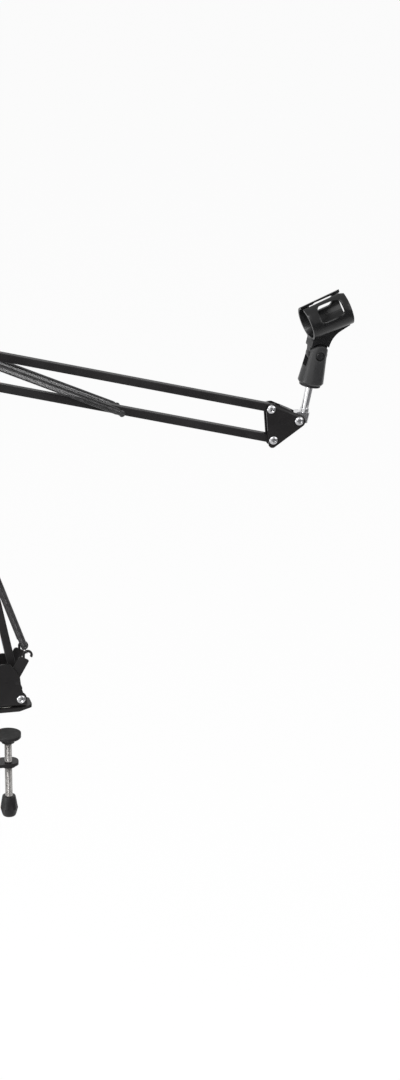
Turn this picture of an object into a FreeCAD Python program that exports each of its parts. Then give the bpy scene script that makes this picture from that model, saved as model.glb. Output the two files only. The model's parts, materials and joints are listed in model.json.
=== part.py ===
import FreeCAD, Part
import math
import os

from FreeCAD import Placement, Rotation, Vector

# All sizes are in millimetres and all angles in degrees.
# The origin is where the swivel axis meets the clamping face of the upper jaw;
# +X runs to the right, +Y away from the viewer and +Z up.  The arm lies in the
# plane y = 0.

# Fits and gaps
RUNNING_FIT = 0.06
BOLT_PLAY = 0.1
MOVING_GAP = 0.3
END_PLAY = 0.4
SAME_POINT = 1e-6

# Pivot layout
ARM_LENGTH = 345.0
BASE_PIVOT_OUT = 16.0
BASE_PIVOT_HEIGHT = 14.2
LOWER_LEAN = 11.4
ELBOW_STEP_RIGHT = 7.9
ELBOW_STEP_UP = 15.3
UPPER_SPREAD = 34.2
UPPER_SPREAD_ANGLE = 94.0
UPPER_DROP = 15.1
TIP_REACH = 28.7
POST_LEAN = 11.6
POST_OFFSET = 5.1
KNUCKLE_RISE = 72.6
CLIP_TURN = 9.0
CLIP_RISE = 17.6

# Square tube of the four bars, with its sleeves and end plugs
TUBE_SIZE = 8.5
TUBE_WALL = 1.0
TUBE_CORNER = 1.0
TUBE_PAST_PIVOT = 4.0
SLEEVE_RADIUS = 2.8
SLEEVE_HALF_LENGTH = 4.7
PLUG_CAP = 0.8
PLUG_SPIGOT = 1.0

# Bolts, nuts and washers of the pivots
BOLT_RADIUS = 2.0
BOLT_HEAD_RADIUS = 4.75
BOLT_HEAD_HEIGHT = 2.6
BOLT_HEAD_FACE_RADIUS = 3.0
BOLT_HEAD_RIM = 0.9
BOLT_END_CHAMFER = 0.4
NUT_FLATS = 7.0
NUT_HEX_HEIGHT = 3.4
NUT_COLLAR_RADIUS = 3.2
NUT_HEIGHT = 5.0
WASHER_RADIUS = 4.5
WASHER_THICKNESS = 0.8
BOLT_PAST_NUT = 0.3

# Pins that hold the springs, with their retaining clips
PIN_RADIUS = 2.0
PIN_HEAD_RADIUS = 3.2
PIN_HEAD_HEIGHT = 1.0
PIN_GROOVE_RADIUS = 1.5
PIN_GROOVE_WIDTH = 0.6
PIN_PAST_GROOVE = 0.9
CLIP_RING_RADIUS = 3.4
CLIP_RING_MOUTH = 2.2
LOWER_PIN_REACH = 15.5
UPPER_PIN_REACH = 14.0
LOWER_PIN_ALONG = 172.0
UPPER_PIN_ALONG = 177.0

# Balance springs
WIRE_RADIUS = 0.5
WIRE_SIDES = 6
COIL_RADIUS = 3.2
CURLS = 8
SPRING_PLAY = 0.05
HOOK_NECK = 3.0
COIL_LEAD_IN = 2.4
COIL_LEAD_ANGLE = 60.0
LOOP_START_ANGLE = 30.0
LOOP_LEAVE_ANGLE = 270.0
LOOP_STEPS = 3
TAIL_LENGTH = 1.2
PATH_STEPS = 6
LOWER_SPRING_DEPTH = 13.0
UPPER_SPRING_DEPTH = 11.4

# Clamp
STRIP_THICKNESS = 3.5
LINER_THICKNESS = 1.2
LINER_MARGIN = 1.5
JAW_TIP = 29.0
JAW_WIDTH = 34.0
JAW_TIP_WIDTH = 18.0
JAW_TAPER = 13.0
JAW_TIP_CORNER = 4.0
SPINE_INNER = -33.0
SPINE_WIDTH = 20.0
SPINE_NARROW_FROM = -8.0
SPINE_NARROW_TO = -36.0
SPINE_BLEND = 14.0
BEND_INNER = 4.0
LOWER_JAW_TOP = -62.0
LOWER_JAW_TIP = 14.8
LOWER_JAW_CORNER = 9.0
SCREW_OUT = 4.0
SCREW_RADIUS = 4.0
SCREW_BOTTOM = -116.0
SCREW_CHAMFER = 0.8
BOSS_RADIUS = 8.0
BOSS_HEIGHT = 2.5
PAD_TOP = -30.0
PAD_LINER_THICKNESS = 1.5
PAD_RADIUS = 14.0
PAD_THICKNESS = 4.0
PAD_EDGE = 1.0
PAD_HUB_RADIUS = 7.0
PAD_HUB_LENGTH = 5.0
PAD_BORE_ROOF = 1.5
KNOB_TOP = -102.0
KNOB_HEIGHT = 23.0
KNOB_TOP_RADIUS = 7.0
KNOB_RADIUS = 9.4
KNOB_WIDEST_DEPTH = 14.0
KNOB_FOOT_RADIUS = 6.8
KNOB_FLUTES = 6
KNOB_FLUTE_RADIUS = 6.5
KNOB_FLUTE_DEPTH = 1.1

# Base swivel
STUD_RADIUS = 4.0
STUD_HEAD_RADIUS = 7.0
STUD_HEAD_HEIGHT = 3.0
STUD_TOP = 15.0
DISC_RADIUS = 13.0
DISC_THICKNESS = 0.4
SWIVEL_WASHER_RADIUS = 9.0
SWIVEL_WASHER_THICKNESS = 1.0
SWIVEL_NUT_FLATS = 13.0
SWIVEL_NUT_HEIGHT = 5.0

# Base bracket and its spring anchors
CHEEK_OUTER = 16.0
CHEEK_THICKNESS = 2.0
CHEEK_BEND = 2.0
FOOT_HALF_WIDTH = 22.8
FOOT_CORNER = 1.5
FOOT_TOP = 10.4
FLARE_HALF_WIDTH = 16.6
FLARE_HEIGHT = 26.0
FLARE_RADIUS = 55.0
WAIST_HALF_WIDTH = 15.3
WAIST_HEIGHT = 40.0
CROWN_HALF_WIDTH = 5.0
CROWN_HEIGHT = 54.8
CHEEK_CORNER = 4.0
ANCHOR_THICKNESS = 2.0
ANCHOR_BOSS_RADIUS = 6.5
ANCHOR_WAIST = 15.2
ANCHOR_WAIST_LOW = 27.0
ANCHOR_WAIST_HIGH = 37.5
ANCHOR_SHOULDER_X = 25.8
ANCHOR_SHOULDER_Z = 56.4
ANCHOR_LEG_WIDTH = 11.5
ANCHOR_CORNER = 5.0
ANCHOR_SHOULDER_CORNER = 1.2
ANCHOR_HEEL_CORNER = 3.0
ANCHOR_EYE_X = 24.3
ANCHOR_EYE_Z = 62.6
ANCHOR_HOOK_INNER = 3.0
ANCHOR_HOOK_OUTER = 5.4
ANCHOR_HOOK_END = -35.0
RIVET_RADIUS = 1.8
RIVET_X = 12.4
RIVET_Z = 33.0
SPACER_RADIUS = 4.5

# Elbow and head plates
PLATE_INNER = 5.0
PLATE_THICKNESS = 2.0
ELBOW_MARGIN = 7.0
ELBOW_BITE_RADIUS = 60.0
ELBOW_BITE_DEPTH = 7.0
HEAD_LEFT_MARGIN = 5.3
HEAD_TOP_MARGIN = 6.6
HEAD_BOTTOM_MARGIN = 7.3
HEAD_TIP_RADIUS = 7.0
HEAD_LOW_CORNER = 4.2
HEAD_HIGH_CORNER = 7.5
HEAD_FOLD_RADIUS = 4.0
HEAD_WEB_FROM = 8.5
HEAD_WEB_BEFORE_TIP = 12.0

# Swivel lug and post, measured from the tip pivot along the post
LUG_HALF_DEPTH = 4.7
LUG_LEFT = 8.2
LUG_BARREL_RADIUS = 6.2
LUG_BARREL_BOTTOM = -2.0
LUG_BOTTOM = -8.6
LUG_TOP = 9.0
LUG_ROUND = 8.0
LUG_HEEL = 5.0
COLLAR_RADIUS = 4.7
COLLAR_TOP = 13.0
POST_RADIUS = 4.0
POST_FOOT = -0.7
POST_BELOW_KNUCKLE = 21.0
POST_CHAMFER = 0.6

# Clip base, measured from the knuckle along the post
CLIP_BASE_BOTTOM = -31.8
CLIP_BASE_FOOT_RADIUS = 12.4
CLIP_BASE_WIDEST = -30.0
CLIP_BASE_RADIUS = 13.6
EAR_RADIUS = 11.0
EAR_SLOT_HALF = 4.65
EAR_SLOT_BOTTOM = -13.0
KNUCKLE_RECESS_RADIUS = 5.0
KNUCKLE_RECESS_FLOOR = 8.7
KNUCKLE_HEAD_RADIUS = 4.5
KNUCKLE_HEAD_HEIGHT = 1.7
KNUCKLE_HEAD_FACE_RADIUS = 3.4
KNUCKLE_HEAD_RIM = 0.7
KNUCKLE_NUT_FLOOR = 7.2
KNUCKLE_NUT_HEIGHT = 3.2
INSERT_RADIUS = 8.0
INSERT_LENGTH = 13.0
INSERT_FLANGE_RADIUS = 11.2
INSERT_FLANGE = 2.8

# Clip holder, measured from the knuckle along and across its barrel
BARREL_RISE = 36.3
BARREL_FROM = -1.2
BARREL_LENGTH = 46.0
BARREL_REAR_RADIUS = 18.2
BARREL_FRONT_RADIUS = 19.2
BARREL_BORE = 16.0
SLIT_WIDTH = 6.8
SLIT_MOUTH = 13.0
SLIT_MOUTH_LENGTH = 5.0
WINDOW_REAR_RIM = 11.6
WINDOW_FRONT_RIM = 7.5
WINDOW_LOW = 0.2
WINDOW_HIGH = 16.6
WINDOW_CORNER = 5.0
NECK_HALF = 8.0
NECK_REAR = -9.0
NECK_REAR_RISE = 3.0
NECK_BACK = -4.8
NECK_BACK_RISE = 13.6
NECK_BACK_CORNER = 4.0
NECK_HEEL_RISE = 19.6
NECK_HEEL_CORNER = 6.0
NECK_FRONT = 10.8
NECK_FRONT_RISE = 2.0
NECK_FOOT_CORNER = 3.0
NECK_BEND = 20.0
NECK_BEND_RISE = 14.5
NECK_SWEEP = 24.0
NECK_END_RIM = 3.3
NECK_END_RISE = 18.2
TONGUE_RADIUS = 10.5
NECK_CLEAR_RADIUS = 13.2

# Shared directions
ACROSS = Vector(0, 1, 0)
UP = Vector(0, 0, 1)
LAID_ACROSS = Rotation(Vector(1, 0, 0), -90)


def polar(length, angle):
    """Step of a length at an angle from the x axis, in the arm's plane."""
    turn = math.radians(angle)
    return Vector(length * math.cos(turn), 0, length * math.sin(turn))


# Pivots, worked out from the layout
BASE_RIGHT = Vector(BASE_PIVOT_OUT, 0, BASE_PIVOT_HEIGHT)
BASE_LEFT = Vector(-BASE_PIVOT_OUT, 0, BASE_PIVOT_HEIGHT)
LOWER_RUN = polar(ARM_LENGTH, 90 + LOWER_LEAN)
ELBOW_RIGHT = BASE_RIGHT + LOWER_RUN
ELBOW_LEFT = BASE_LEFT + LOWER_RUN
ELBOW_LOW = ELBOW_RIGHT + Vector(ELBOW_STEP_RIGHT, 0, ELBOW_STEP_UP)
ELBOW_HIGH = ELBOW_LOW + polar(UPPER_SPREAD, UPPER_SPREAD_ANGLE)
UPPER_RUN = polar(ARM_LENGTH, -UPPER_DROP)
HEAD_LOW = ELBOW_LOW + UPPER_RUN
HEAD_HIGH = ELBOW_HIGH + UPPER_RUN
TIP = (HEAD_LOW + HEAD_HIGH) * 0.5 + polar(TIP_REACH, UPPER_SPREAD_ANGLE - 90)
POST_DIRECTION = polar(1, 90 - POST_LEAN)
POST_START = TIP + polar(POST_OFFSET, -POST_LEAN)
KNUCKLE = POST_START + POST_DIRECTION * KNUCKLE_RISE
CLIP_ROTATION = Rotation(POST_DIRECTION, CLIP_TURN)
LOWER_PIN = BASE_RIGHT + polar(LOWER_PIN_ALONG, 90 + LOWER_LEAN)
UPPER_PIN = ELBOW_LOW + polar(UPPER_PIN_ALONG, -UPPER_DROP)
ANCHOR_EYE = Vector(ANCHOR_EYE_X, 0, ANCHOR_EYE_Z)

# Heights and depths that follow from the sizes above
JAW_BOTTOM = LINER_THICKNESS
JAW_TOP = JAW_BOTTOM + STRIP_THICKNESS
SPINE_OUTER = SPINE_INNER - STRIP_THICKNESS
LOWER_JAW_BOTTOM = LOWER_JAW_TOP - STRIP_THICKNESS
FLOOR_BOTTOM = JAW_TOP + DISC_THICKNESS + MOVING_GAP
FLOOR_TOP = FLOOR_BOTTOM + CHEEK_THICKNESS
CHEEK_INNER = CHEEK_OUTER - CHEEK_THICKNESS
ANCHOR_INNER = CHEEK_INNER - ANCHOR_THICKNESS
PLATE_OUTER = PLATE_INNER + PLATE_THICKNESS
SCREW_LINE = Vector(SCREW_OUT, 0, 0)


def on_front(a, b, depth=0.0):
    """Point of the arm's plane at a depth behind it."""
    return Vector(a, depth, b)


def on_plan(a, b, depth=0.0):
    """Point of the level plane at a height above it."""
    return Vector(a, b, depth)


def on_side(a, b, depth=0.0):
    """Point of the plane across the arm, a to the rear and b up."""
    return Vector(depth, a, b)


def outline(corners, plane):
    """Closed wire through (a, b, radius) corners, each rounded by its radius."""
    points = [plane(a, b) for a, b, radius in corners]
    starts = []
    ends = []
    edges = []
    for index, (a, b, radius) in enumerate(corners):
        corner = points[index]
        back = (points[index - 1] - corner).normalize()
        ahead = (points[(index + 1) % len(points)] - corner).normalize()
        half_angle = back.getAngle(ahead) / 2
        reach = radius / math.tan(half_angle)
        starts.append(corner + back * reach)
        ends.append(corner + ahead * reach)
        if radius > 0:
            inward = (back + ahead).normalize()
            crest = corner + inward * (radius / math.sin(half_angle) - radius)
            edges.append(Part.Arc(starts[-1], crest, ends[-1]).toShape())
    for index, end in enumerate(ends):
        start = starts[(index + 1) % len(starts)]
        if end.distanceToPoint(start) > SAME_POINT:
            edges.append(Part.makeLine(end, start))
    return Part.Wire(Part.__sortEdges__(edges))


def slab(corners, low, high, plane=on_front):
    """Prism of an outline from depth low to high."""
    face = Part.Face(outline(corners, plane))
    face.translate(plane(0, 0, low))
    return face.extrude(plane(0, 0, high - low))


def mirrored(half):
    """Closed corner list from its right half, listed from the bottom up."""
    return half + [(-a, b, radius) for a, b, radius in reversed(half)]


def offset_corners(points, margins, radii):
    """Rounded corners of the polygon whose edges lie outside that of the points.

    The points run anticlockwise; each margin belongs to the edge that leaves
    its point, each radius to the corner outside it.
    """
    normals = []
    for index, point in enumerate(points):
        run = (points[(index + 1) % len(points)] - point).normalize()
        normals.append(Vector(run.z, 0, -run.x))
    corners = []
    for index, point in enumerate(points):
        leaving = normals[index]
        coming = normals[index - 1]
        shared = leaving.dot(coming)
        spare = 1 - shared * shared
        out_leaving = (margins[index] - shared * margins[index - 1]) / spare
        out_coming = (margins[index - 1] - shared * margins[index]) / spare
        corner = point + leaving * out_leaving + coming * out_coming
        corners.append((corner.x, corner.z, radii[index]))
    return corners


def pin(point, radius, low, high):
    """Drum across the arm at a pivot, from depth low to high."""
    return Part.makeCylinder(radius, high - low, Vector(point.x, low, point.z), ACROSS)


def upright(point, radius, low, high):
    """Upright drum at a point of the plan, from height low to high."""
    return Part.makeCylinder(radius, high - low, Vector(point.x, point.y, low), UP)


def turned(profile):
    """Solid of (radius, height) corners turned about the z axis."""
    points = [Vector(radius, 0, height) for radius, height in profile]
    face = Part.Face(Part.makePolygon(points + points[:1]))
    return face.revolve(Vector(0, 0, 0), UP, 360)


def hexagon(flats, low, high):
    """Hexagonal prism about the z axis."""
    radius = flats / math.sqrt(3)
    points = [polar(radius, 60 * side) for side in range(6)]
    corners = [(point.x, point.z, 0) for point in points]
    return slab(corners, low, high, on_plan)


def placed(shape, placement):
    """Copy of a shape, moved by a placement."""
    moved = shape.copy()
    moved.Placement = placement.multiply(moved.Placement)
    return moved


def laid_across(shape, point, depth):
    """Shape made along z, laid across the arm with its zero height at a depth."""
    return placed(shape, Placement(Vector(point.x, depth, point.z), LAID_ACROSS))


def running_along(start, end):
    """Placement whose x axis runs from start to end in the arm's plane."""
    run = end - start
    turn = -math.degrees(math.atan2(run.z, run.x))
    return Placement(start, Rotation(ACROSS, turn))


# Fasteners

def bolt(outer):
    """Pan-head bolt through plates whose outer faces are at this depth."""
    length = 2 * outer + WASHER_THICKNESS + NUT_HEIGHT + BOLT_PAST_NUT
    return turned([
        (0, -BOLT_HEAD_HEIGHT),
        (BOLT_HEAD_FACE_RADIUS, -BOLT_HEAD_HEIGHT),
        (BOLT_HEAD_RADIUS, -BOLT_HEAD_RIM),
        (BOLT_HEAD_RADIUS, 0),
        (BOLT_RADIUS, 0),
        (BOLT_RADIUS, length - BOLT_END_CHAMFER),
        (BOLT_RADIUS - BOLT_END_CHAMFER, length),
        (0, length),
    ])


def lock_nut():
    """Hexagon nut with a round collar, standing on the plane z = 0."""
    collar = upright(Vector(0, 0, 0), NUT_COLLAR_RADIUS, 0, NUT_HEIGHT)
    hole = upright(Vector(0, 0, 0), BOLT_RADIUS, 0, NUT_HEIGHT)
    return hexagon(NUT_FLATS, 0, NUT_HEX_HEIGHT).fuse(collar).cut(hole).removeSplitter()


def bolt_set(points, outer):
    """Bolts, washers and nuts for the pivots between one pair of plates."""
    bolts = []
    washers = []
    nuts = []
    for point in points:
        bolts.append(laid_across(bolt(outer), point, -outer))
        rear = outer + WASHER_THICKNESS
        washer = pin(point, WASHER_RADIUS, outer, rear)
        washers.append(washer.cut(pin(point, BOLT_RADIUS, outer, rear)))
        nuts.append(laid_across(lock_nut(), point, rear))
    return Part.Compound(bolts), Part.Compound(washers), Part.Compound(nuts)


def groove_depth(reach):
    """Depth where a spring pin's clip groove starts."""
    return reach - PIN_PAST_GROOVE - PIN_GROOVE_WIDTH


def spring_pin(point, reach):
    """Headed pin with a clip groove at its rear end."""
    start = groove_depth(reach)
    groove = pin(point, PIN_RADIUS, start, start + PIN_GROOVE_WIDTH)
    groove = groove.cut(pin(point, PIN_GROOVE_RADIUS, start, start + PIN_GROOVE_WIDTH))
    head = pin(point, PIN_HEAD_RADIUS, -reach - PIN_HEAD_HEIGHT, -reach)
    return pin(point, PIN_RADIUS, -reach, reach).fuse(head).cut(groove).removeSplitter()


def pin_clip(point, reach):
    """Open ring that snaps into a spring pin's groove."""
    start = groove_depth(reach)
    ring = pin(point, CLIP_RING_RADIUS, start, start + PIN_GROOVE_WIDTH)
    ring = ring.cut(pin(point, PIN_GROOVE_RADIUS, start, start + PIN_GROOVE_WIDTH))
    corner = Vector(point.x - CLIP_RING_MOUTH / 2, start, point.z - 2 * CLIP_RING_RADIUS)
    return ring.cut(Part.makeBox(CLIP_RING_MOUTH, PIN_GROOVE_WIDTH, 2 * CLIP_RING_RADIUS, corner))


# Bars

def rounded_square(size, corner, low, high):
    """Square bar along x, centred on the axis."""
    half = size / 2
    corners = [(-half, -half, corner), (half, -half, corner), (half, half, corner), (-half, half, corner)]
    return slab(corners, low, high, on_side)


def bar(start, end, pin_at=None):
    """Square tube between two pivots, drilled for sleeves and a spring pin."""
    low = -TUBE_PAST_PIVOT
    high = ARM_LENGTH + TUBE_PAST_PIVOT
    inner = TUBE_SIZE - 2 * TUBE_WALL
    tube = rounded_square(TUBE_SIZE, TUBE_CORNER, low, high)
    tube = tube.cut(rounded_square(inner, 0, low, high))
    tube = placed(tube, running_along(start, end))
    for point in (start, end):
        tube = tube.cut(pin(point, SLEEVE_RADIUS, -TUBE_SIZE, TUBE_SIZE))
    if pin_at is not None:
        tube = tube.cut(pin(pin_at, PIN_RADIUS, -TUBE_SIZE, TUBE_SIZE))
    return tube


def sleeves(start, end):
    """Pivot sleeves pressed through both ends of a bar."""
    rings = []
    for point in (start, end):
        ring = pin(point, SLEEVE_RADIUS, -SLEEVE_HALF_LENGTH, SLEEVE_HALF_LENGTH)
        bore = pin(point, BOLT_RADIUS + RUNNING_FIT, -SLEEVE_HALF_LENGTH, SLEEVE_HALF_LENGTH)
        rings.append(ring.cut(bore))
    return Part.Compound(rings)


def plugs(start, end):
    """End plugs of a bar, each a cap with a spigot in the tube."""
    inner = TUBE_SIZE - 2 * TUBE_WALL
    pieces = []
    for pivot, other in ((start, end), (end, start)):
        cap = rounded_square(TUBE_SIZE, TUBE_CORNER, -TUBE_PAST_PIVOT - PLUG_CAP, -TUBE_PAST_PIVOT)
        spigot = rounded_square(inner, 0, -TUBE_PAST_PIVOT, PLUG_SPIGOT - TUBE_PAST_PIVOT)
        pieces.append(placed(cap.fuse(spigot), running_along(pivot, other)))
    return Part.Compound(pieces)


def bar_set(name, start, end, pin_at=None):
    """Named pieces of one bar."""
    return {
        name + "_bar": bar(start, end, pin_at),
        name + "_sleeves": sleeves(start, end),
        name + "_plugs": plugs(start, end),
    }


# Springs

def arc_edge(start, tangent, end):
    """Arc, or line, that leaves start along the tangent and reaches end."""
    chord = end - start
    run = Vector(chord).normalize()
    sideways = tangent - run * tangent.dot(run)
    if sideways.Length < SAME_POINT:
        return Part.makeLine(start, end)
    bulge = chord.Length / 2 * math.tan(tangent.getAngle(chord) / 2)
    crest = (start + end) * 0.5 + sideways.normalize() * bulge
    return Part.Arc(start, crest, end).toShape()


def biarc(start, leaving, end, arriving):
    """Two arcs that join two points smoothly in the given directions."""
    chord = end - start
    along = chord.dot(leaving + arriving)
    spread = 2 * (1 - leaving.dot(arriving))
    if spread < 1e-9:
        reach = chord.Length ** 2 / (2 * along)
    else:
        reach = (math.sqrt(along * along + spread * chord.Length ** 2) - along) / spread
    first = start + leaving * reach
    second = end - arriving * reach
    middle = (first + second) * 0.5
    turn = (second - first).normalize()
    return [arc_edge(start, leaving, middle), arc_edge(middle, turn, end)]


def hook_stations(eye, run, side, radius):
    """Points and directions of an end hook, from its tail to the coil's lead-in."""
    stations = []
    step = (LOOP_LEAVE_ANGLE - LOOP_START_ANGLE) / LOOP_STEPS
    for index in range(LOOP_STEPS + 1):
        turn = math.radians(LOOP_START_ANGLE + index * step)
        point = eye + (run * math.cos(turn) + side * math.sin(turn)) * radius
        stations.append((point, side * math.cos(turn) - run * math.sin(turn)))
    first, direction = stations[0]
    tail = (first - direction * TAIL_LENGTH, direction)
    neck = (stations[-1][0] + run * HOOK_NECK, Vector(run))
    return [tail] + stations + [neck]


def coil_stations(start, run, length, first_axis, last_axis):
    """Half-turn points and directions of the coil between two lead-ins."""
    second_axis = run.cross(first_axis)
    begin = math.radians(COIL_LEAD_ANGLE)
    last = math.atan2(last_axis.dot(second_axis), last_axis.dot(first_axis))
    end = last - begin + 2 * math.pi * CURLS
    steps = round((end - begin) / math.pi)
    stations = []
    for index in range(steps + 1):
        share = index / steps
        turn = begin + (end - begin) * share
        out = first_axis * math.cos(turn) + second_axis * math.sin(turn)
        around = second_axis * math.cos(turn) - first_axis * math.sin(turn)
        point = start + run * (length * share) + out * COIL_RADIUS
        direction = around * COIL_RADIUS + run * (length / (end - begin))
        stations.append((point, direction.normalize()))
    return stations


def coil_spring(start, end, start_side, end_side, start_radius, end_radius):
    """Extension spring with a hook at each end, as one unbroken tube."""
    run = (end - start).normalize()
    hook = hook_stations(start, run, start_side, start_radius)
    far_hook = hook_stations(end, run * -1, end_side, end_radius)
    lead = HOOK_NECK + COIL_LEAD_IN
    length = (end - start).Length - 2 * lead
    coil = coil_stations(start + run * lead, run, length, start_side * -1, end_side * -1)
    arriving = [(point, direction * -1) for point, direction in reversed(far_hook)]
    stations = hook + coil + arriving
    edges = [Part.makeLine(stations[0][0], stations[1][0])]
    for here, there in zip(stations[1:-2], stations[2:-1]):
        edges.extend(biarc(here[0], here[1], there[0], there[1]))
    edges.append(Part.makeLine(stations[-2][0], stations[-1][0]))
    report_spring(edges)
    return wire_tube(edges, stations[0][0], stations[0][1], end_side.cross(run))


def wire_tube(edges, start, direction, across):
    """Solid wire swept along a path of smooth edges."""
    upward = direction.cross(across).normalize()
    level = upward.cross(direction).normalize()
    rim = []
    for index in range(WIRE_SIDES):
        turn = 2 * math.pi * index / WIRE_SIDES
        rim.append(start + (level * math.cos(turn) + upward * math.sin(turn)) * WIRE_RADIUS)
    profile = Part.makePolygon(rim + rim[:1])
    sweep = Part.BRepOffsetAPI.MakePipeShell(Part.Wire(edges))
    sweep.add(profile)
    sweep.build()
    sweep.makeSolid()
    return sweep.shape()


def report_spring(edges):
    """Print a spring's least gap to itself and its tightest bend."""
    path = []
    travelled = 0.0
    for edge in edges:
        points = edge.discretize(Number=PATH_STEPS + 1)
        for index, point in enumerate(points[:-1]):
            path.append((travelled + edge.Length * index / PATH_STEPS, point))
        travelled += edge.Length
    skip = 8 * WIRE_RADIUS
    nearest = min(
        point.distanceToPoint(other)
        for index, (place, point) in enumerate(path)
        for further, other in path[index + 1:]
        if further - place > skip
    )
    bends = [edge.Curve.Radius for edge in edges if hasattr(edge.Curve, "Radius")]
    gap = nearest - 2 * WIRE_RADIUS
    print(f"spring: least gap to itself {gap:.2f} mm, tightest bend {min(bends):.2f} mm")


# Clamp

def jaw_plan(margin):
    """Plan of the upper jaw with its tapered tip, drawn in by a margin."""
    half = JAW_WIDTH / 2 - margin
    tip_half = JAW_TIP_WIDTH / 2 - margin
    tip = JAW_TIP - margin
    heel = SPINE_OUTER
    if margin > 0:
        heel = SPINE_INNER + BEND_INNER
    return [
        (heel, -half, 0),
        (tip - JAW_TAPER, -half, JAW_TIP_CORNER),
        (tip, -tip_half, JAW_TIP_CORNER),
        (tip, tip_half, JAW_TIP_CORNER),
        (tip - JAW_TAPER, half, JAW_TIP_CORNER),
        (heel, half, 0),
    ]


def clamp_frame():
    """Bent strip with a tapered upper jaw, a waisted spine and a lower jaw."""
    outer_bend = BEND_INNER + STRIP_THICKNESS
    bent = slab([
        (JAW_TIP, JAW_TOP, 0),
        (SPINE_OUTER, JAW_TOP, outer_bend),
        (SPINE_OUTER, LOWER_JAW_BOTTOM, outer_bend),
        (LOWER_JAW_TIP, LOWER_JAW_BOTTOM, 0),
        (LOWER_JAW_TIP, LOWER_JAW_TOP, 0),
        (SPINE_INNER, LOWER_JAW_TOP, BEND_INNER),
        (SPINE_INNER, JAW_BOTTOM, BEND_INNER),
        (JAW_TIP, JAW_BOTTOM, 0),
    ], -JAW_WIDTH, JAW_WIDTH)
    spine = slab(mirrored([
        (SPINE_WIDTH / 2, LOWER_JAW_BOTTOM, 0),
        (SPINE_WIDTH / 2, SPINE_NARROW_TO, SPINE_BLEND),
        (JAW_WIDTH / 2, SPINE_NARROW_FROM, SPINE_BLEND),
        (JAW_WIDTH / 2, JAW_TOP, 0),
    ]), SPINE_OUTER, JAW_TIP, on_side)
    middle = (JAW_BOTTOM + LOWER_JAW_TOP) / 2
    half = SPINE_WIDTH / 2
    plan = slab(jaw_plan(0), middle, JAW_TOP, on_plan).fuse(slab([
        (SPINE_OUTER, -half, 0),
        (LOWER_JAW_TIP, -half, LOWER_JAW_CORNER),
        (LOWER_JAW_TIP, half, LOWER_JAW_CORNER),
        (SPINE_OUTER, half, 0),
    ], LOWER_JAW_BOTTOM, middle, on_plan))
    frame = bent.common(spine).common(plan)
    stud_seat = turned([
        (0, JAW_BOTTOM),
        (STUD_HEAD_RADIUS, JAW_BOTTOM),
        (STUD_RADIUS, JAW_BOTTOM + STUD_HEAD_HEIGHT),
        (STUD_RADIUS, JAW_TOP),
        (0, JAW_TOP),
    ])
    screw_hole = upright(SCREW_LINE, SCREW_RADIUS + RUNNING_FIT, LOWER_JAW_BOTTOM, LOWER_JAW_TOP)
    return frame.cut(stud_seat).cut(screw_hole).removeSplitter()


def clamp_boss():
    """Round threaded boss under the lower jaw."""
    low = LOWER_JAW_BOTTOM - BOSS_HEIGHT
    boss = upright(SCREW_LINE, BOSS_RADIUS, low, LOWER_JAW_BOTTOM)
    return boss.cut(upright(SCREW_LINE, SCREW_RADIUS + RUNNING_FIT, low, LOWER_JAW_BOTTOM))


def swivel_stud():
    """Countersunk stud that the base turns on."""
    return turned([
        (0, JAW_BOTTOM),
        (STUD_HEAD_RADIUS, JAW_BOTTOM),
        (STUD_RADIUS, JAW_BOTTOM + STUD_HEAD_HEIGHT),
        (STUD_RADIUS, STUD_TOP - SCREW_CHAMFER),
        (STUD_RADIUS - SCREW_CHAMFER, STUD_TOP),
        (0, STUD_TOP),
    ])


def stud_ring(radius, low, high):
    """Ring round the swivel stud."""
    centre = Vector(0, 0, 0)
    return upright(centre, radius, low, high).cut(upright(centre, STUD_RADIUS, low, high))


def clamp_pieces():
    """Pieces of the clamp that the arm turns on."""
    washer_low = FLOOR_TOP + MOVING_GAP
    nut_low = washer_low + SWIVEL_WASHER_THICKNESS
    nut = hexagon(SWIVEL_NUT_FLATS, nut_low, nut_low + SWIVEL_NUT_HEIGHT)
    nut_hole = upright(Vector(0, 0, 0), STUD_RADIUS, nut_low, nut_low + SWIVEL_NUT_HEIGHT)
    return {
        "clamp_frame": clamp_frame(),
        "jaw_liner": slab(jaw_plan(LINER_MARGIN), 0, LINER_THICKNESS, on_plan),
        "clamp_boss": clamp_boss(),
        "swivel_stud": swivel_stud(),
        "swivel_disc": stud_ring(DISC_RADIUS, JAW_TOP, JAW_TOP + DISC_THICKNESS),
        "swivel_washer": stud_ring(SWIVEL_WASHER_RADIUS, washer_low, nut_low),
        "swivel_nut": nut.cut(nut_hole),
    }


def pressure_pad():
    """Round pad with a hub whose blind bore takes the screw's end."""
    top = PAD_TOP - PAD_LINER_THICKNESS
    low = top - PAD_THICKNESS
    hub_low = low - PAD_HUB_LENGTH
    body = turned([
        (0, top),
        (PAD_RADIUS, top),
        (PAD_RADIUS, low + PAD_EDGE),
        (PAD_RADIUS - PAD_EDGE, low),
        (PAD_HUB_RADIUS, low),
        (PAD_HUB_RADIUS, hub_low),
        (0, hub_low),
    ])
    bore = upright(Vector(0, 0, 0), SCREW_RADIUS + RUNNING_FIT, hub_low, top - PAD_BORE_ROOF)
    return placed(body.cut(bore), Placement(SCREW_LINE, Rotation()))


def clamp_screw():
    """Round clamp screw from the pad's bore down into the knob."""
    top = PAD_TOP - PAD_LINER_THICKNESS - PAD_BORE_ROOF - END_PLAY
    body = turned([
        (0, SCREW_BOTTOM),
        (SCREW_RADIUS, SCREW_BOTTOM),
        (SCREW_RADIUS, top - SCREW_CHAMFER),
        (SCREW_RADIUS - SCREW_CHAMFER, top),
        (0, top),
    ])
    return placed(body, Placement(SCREW_LINE, Rotation()))


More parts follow.
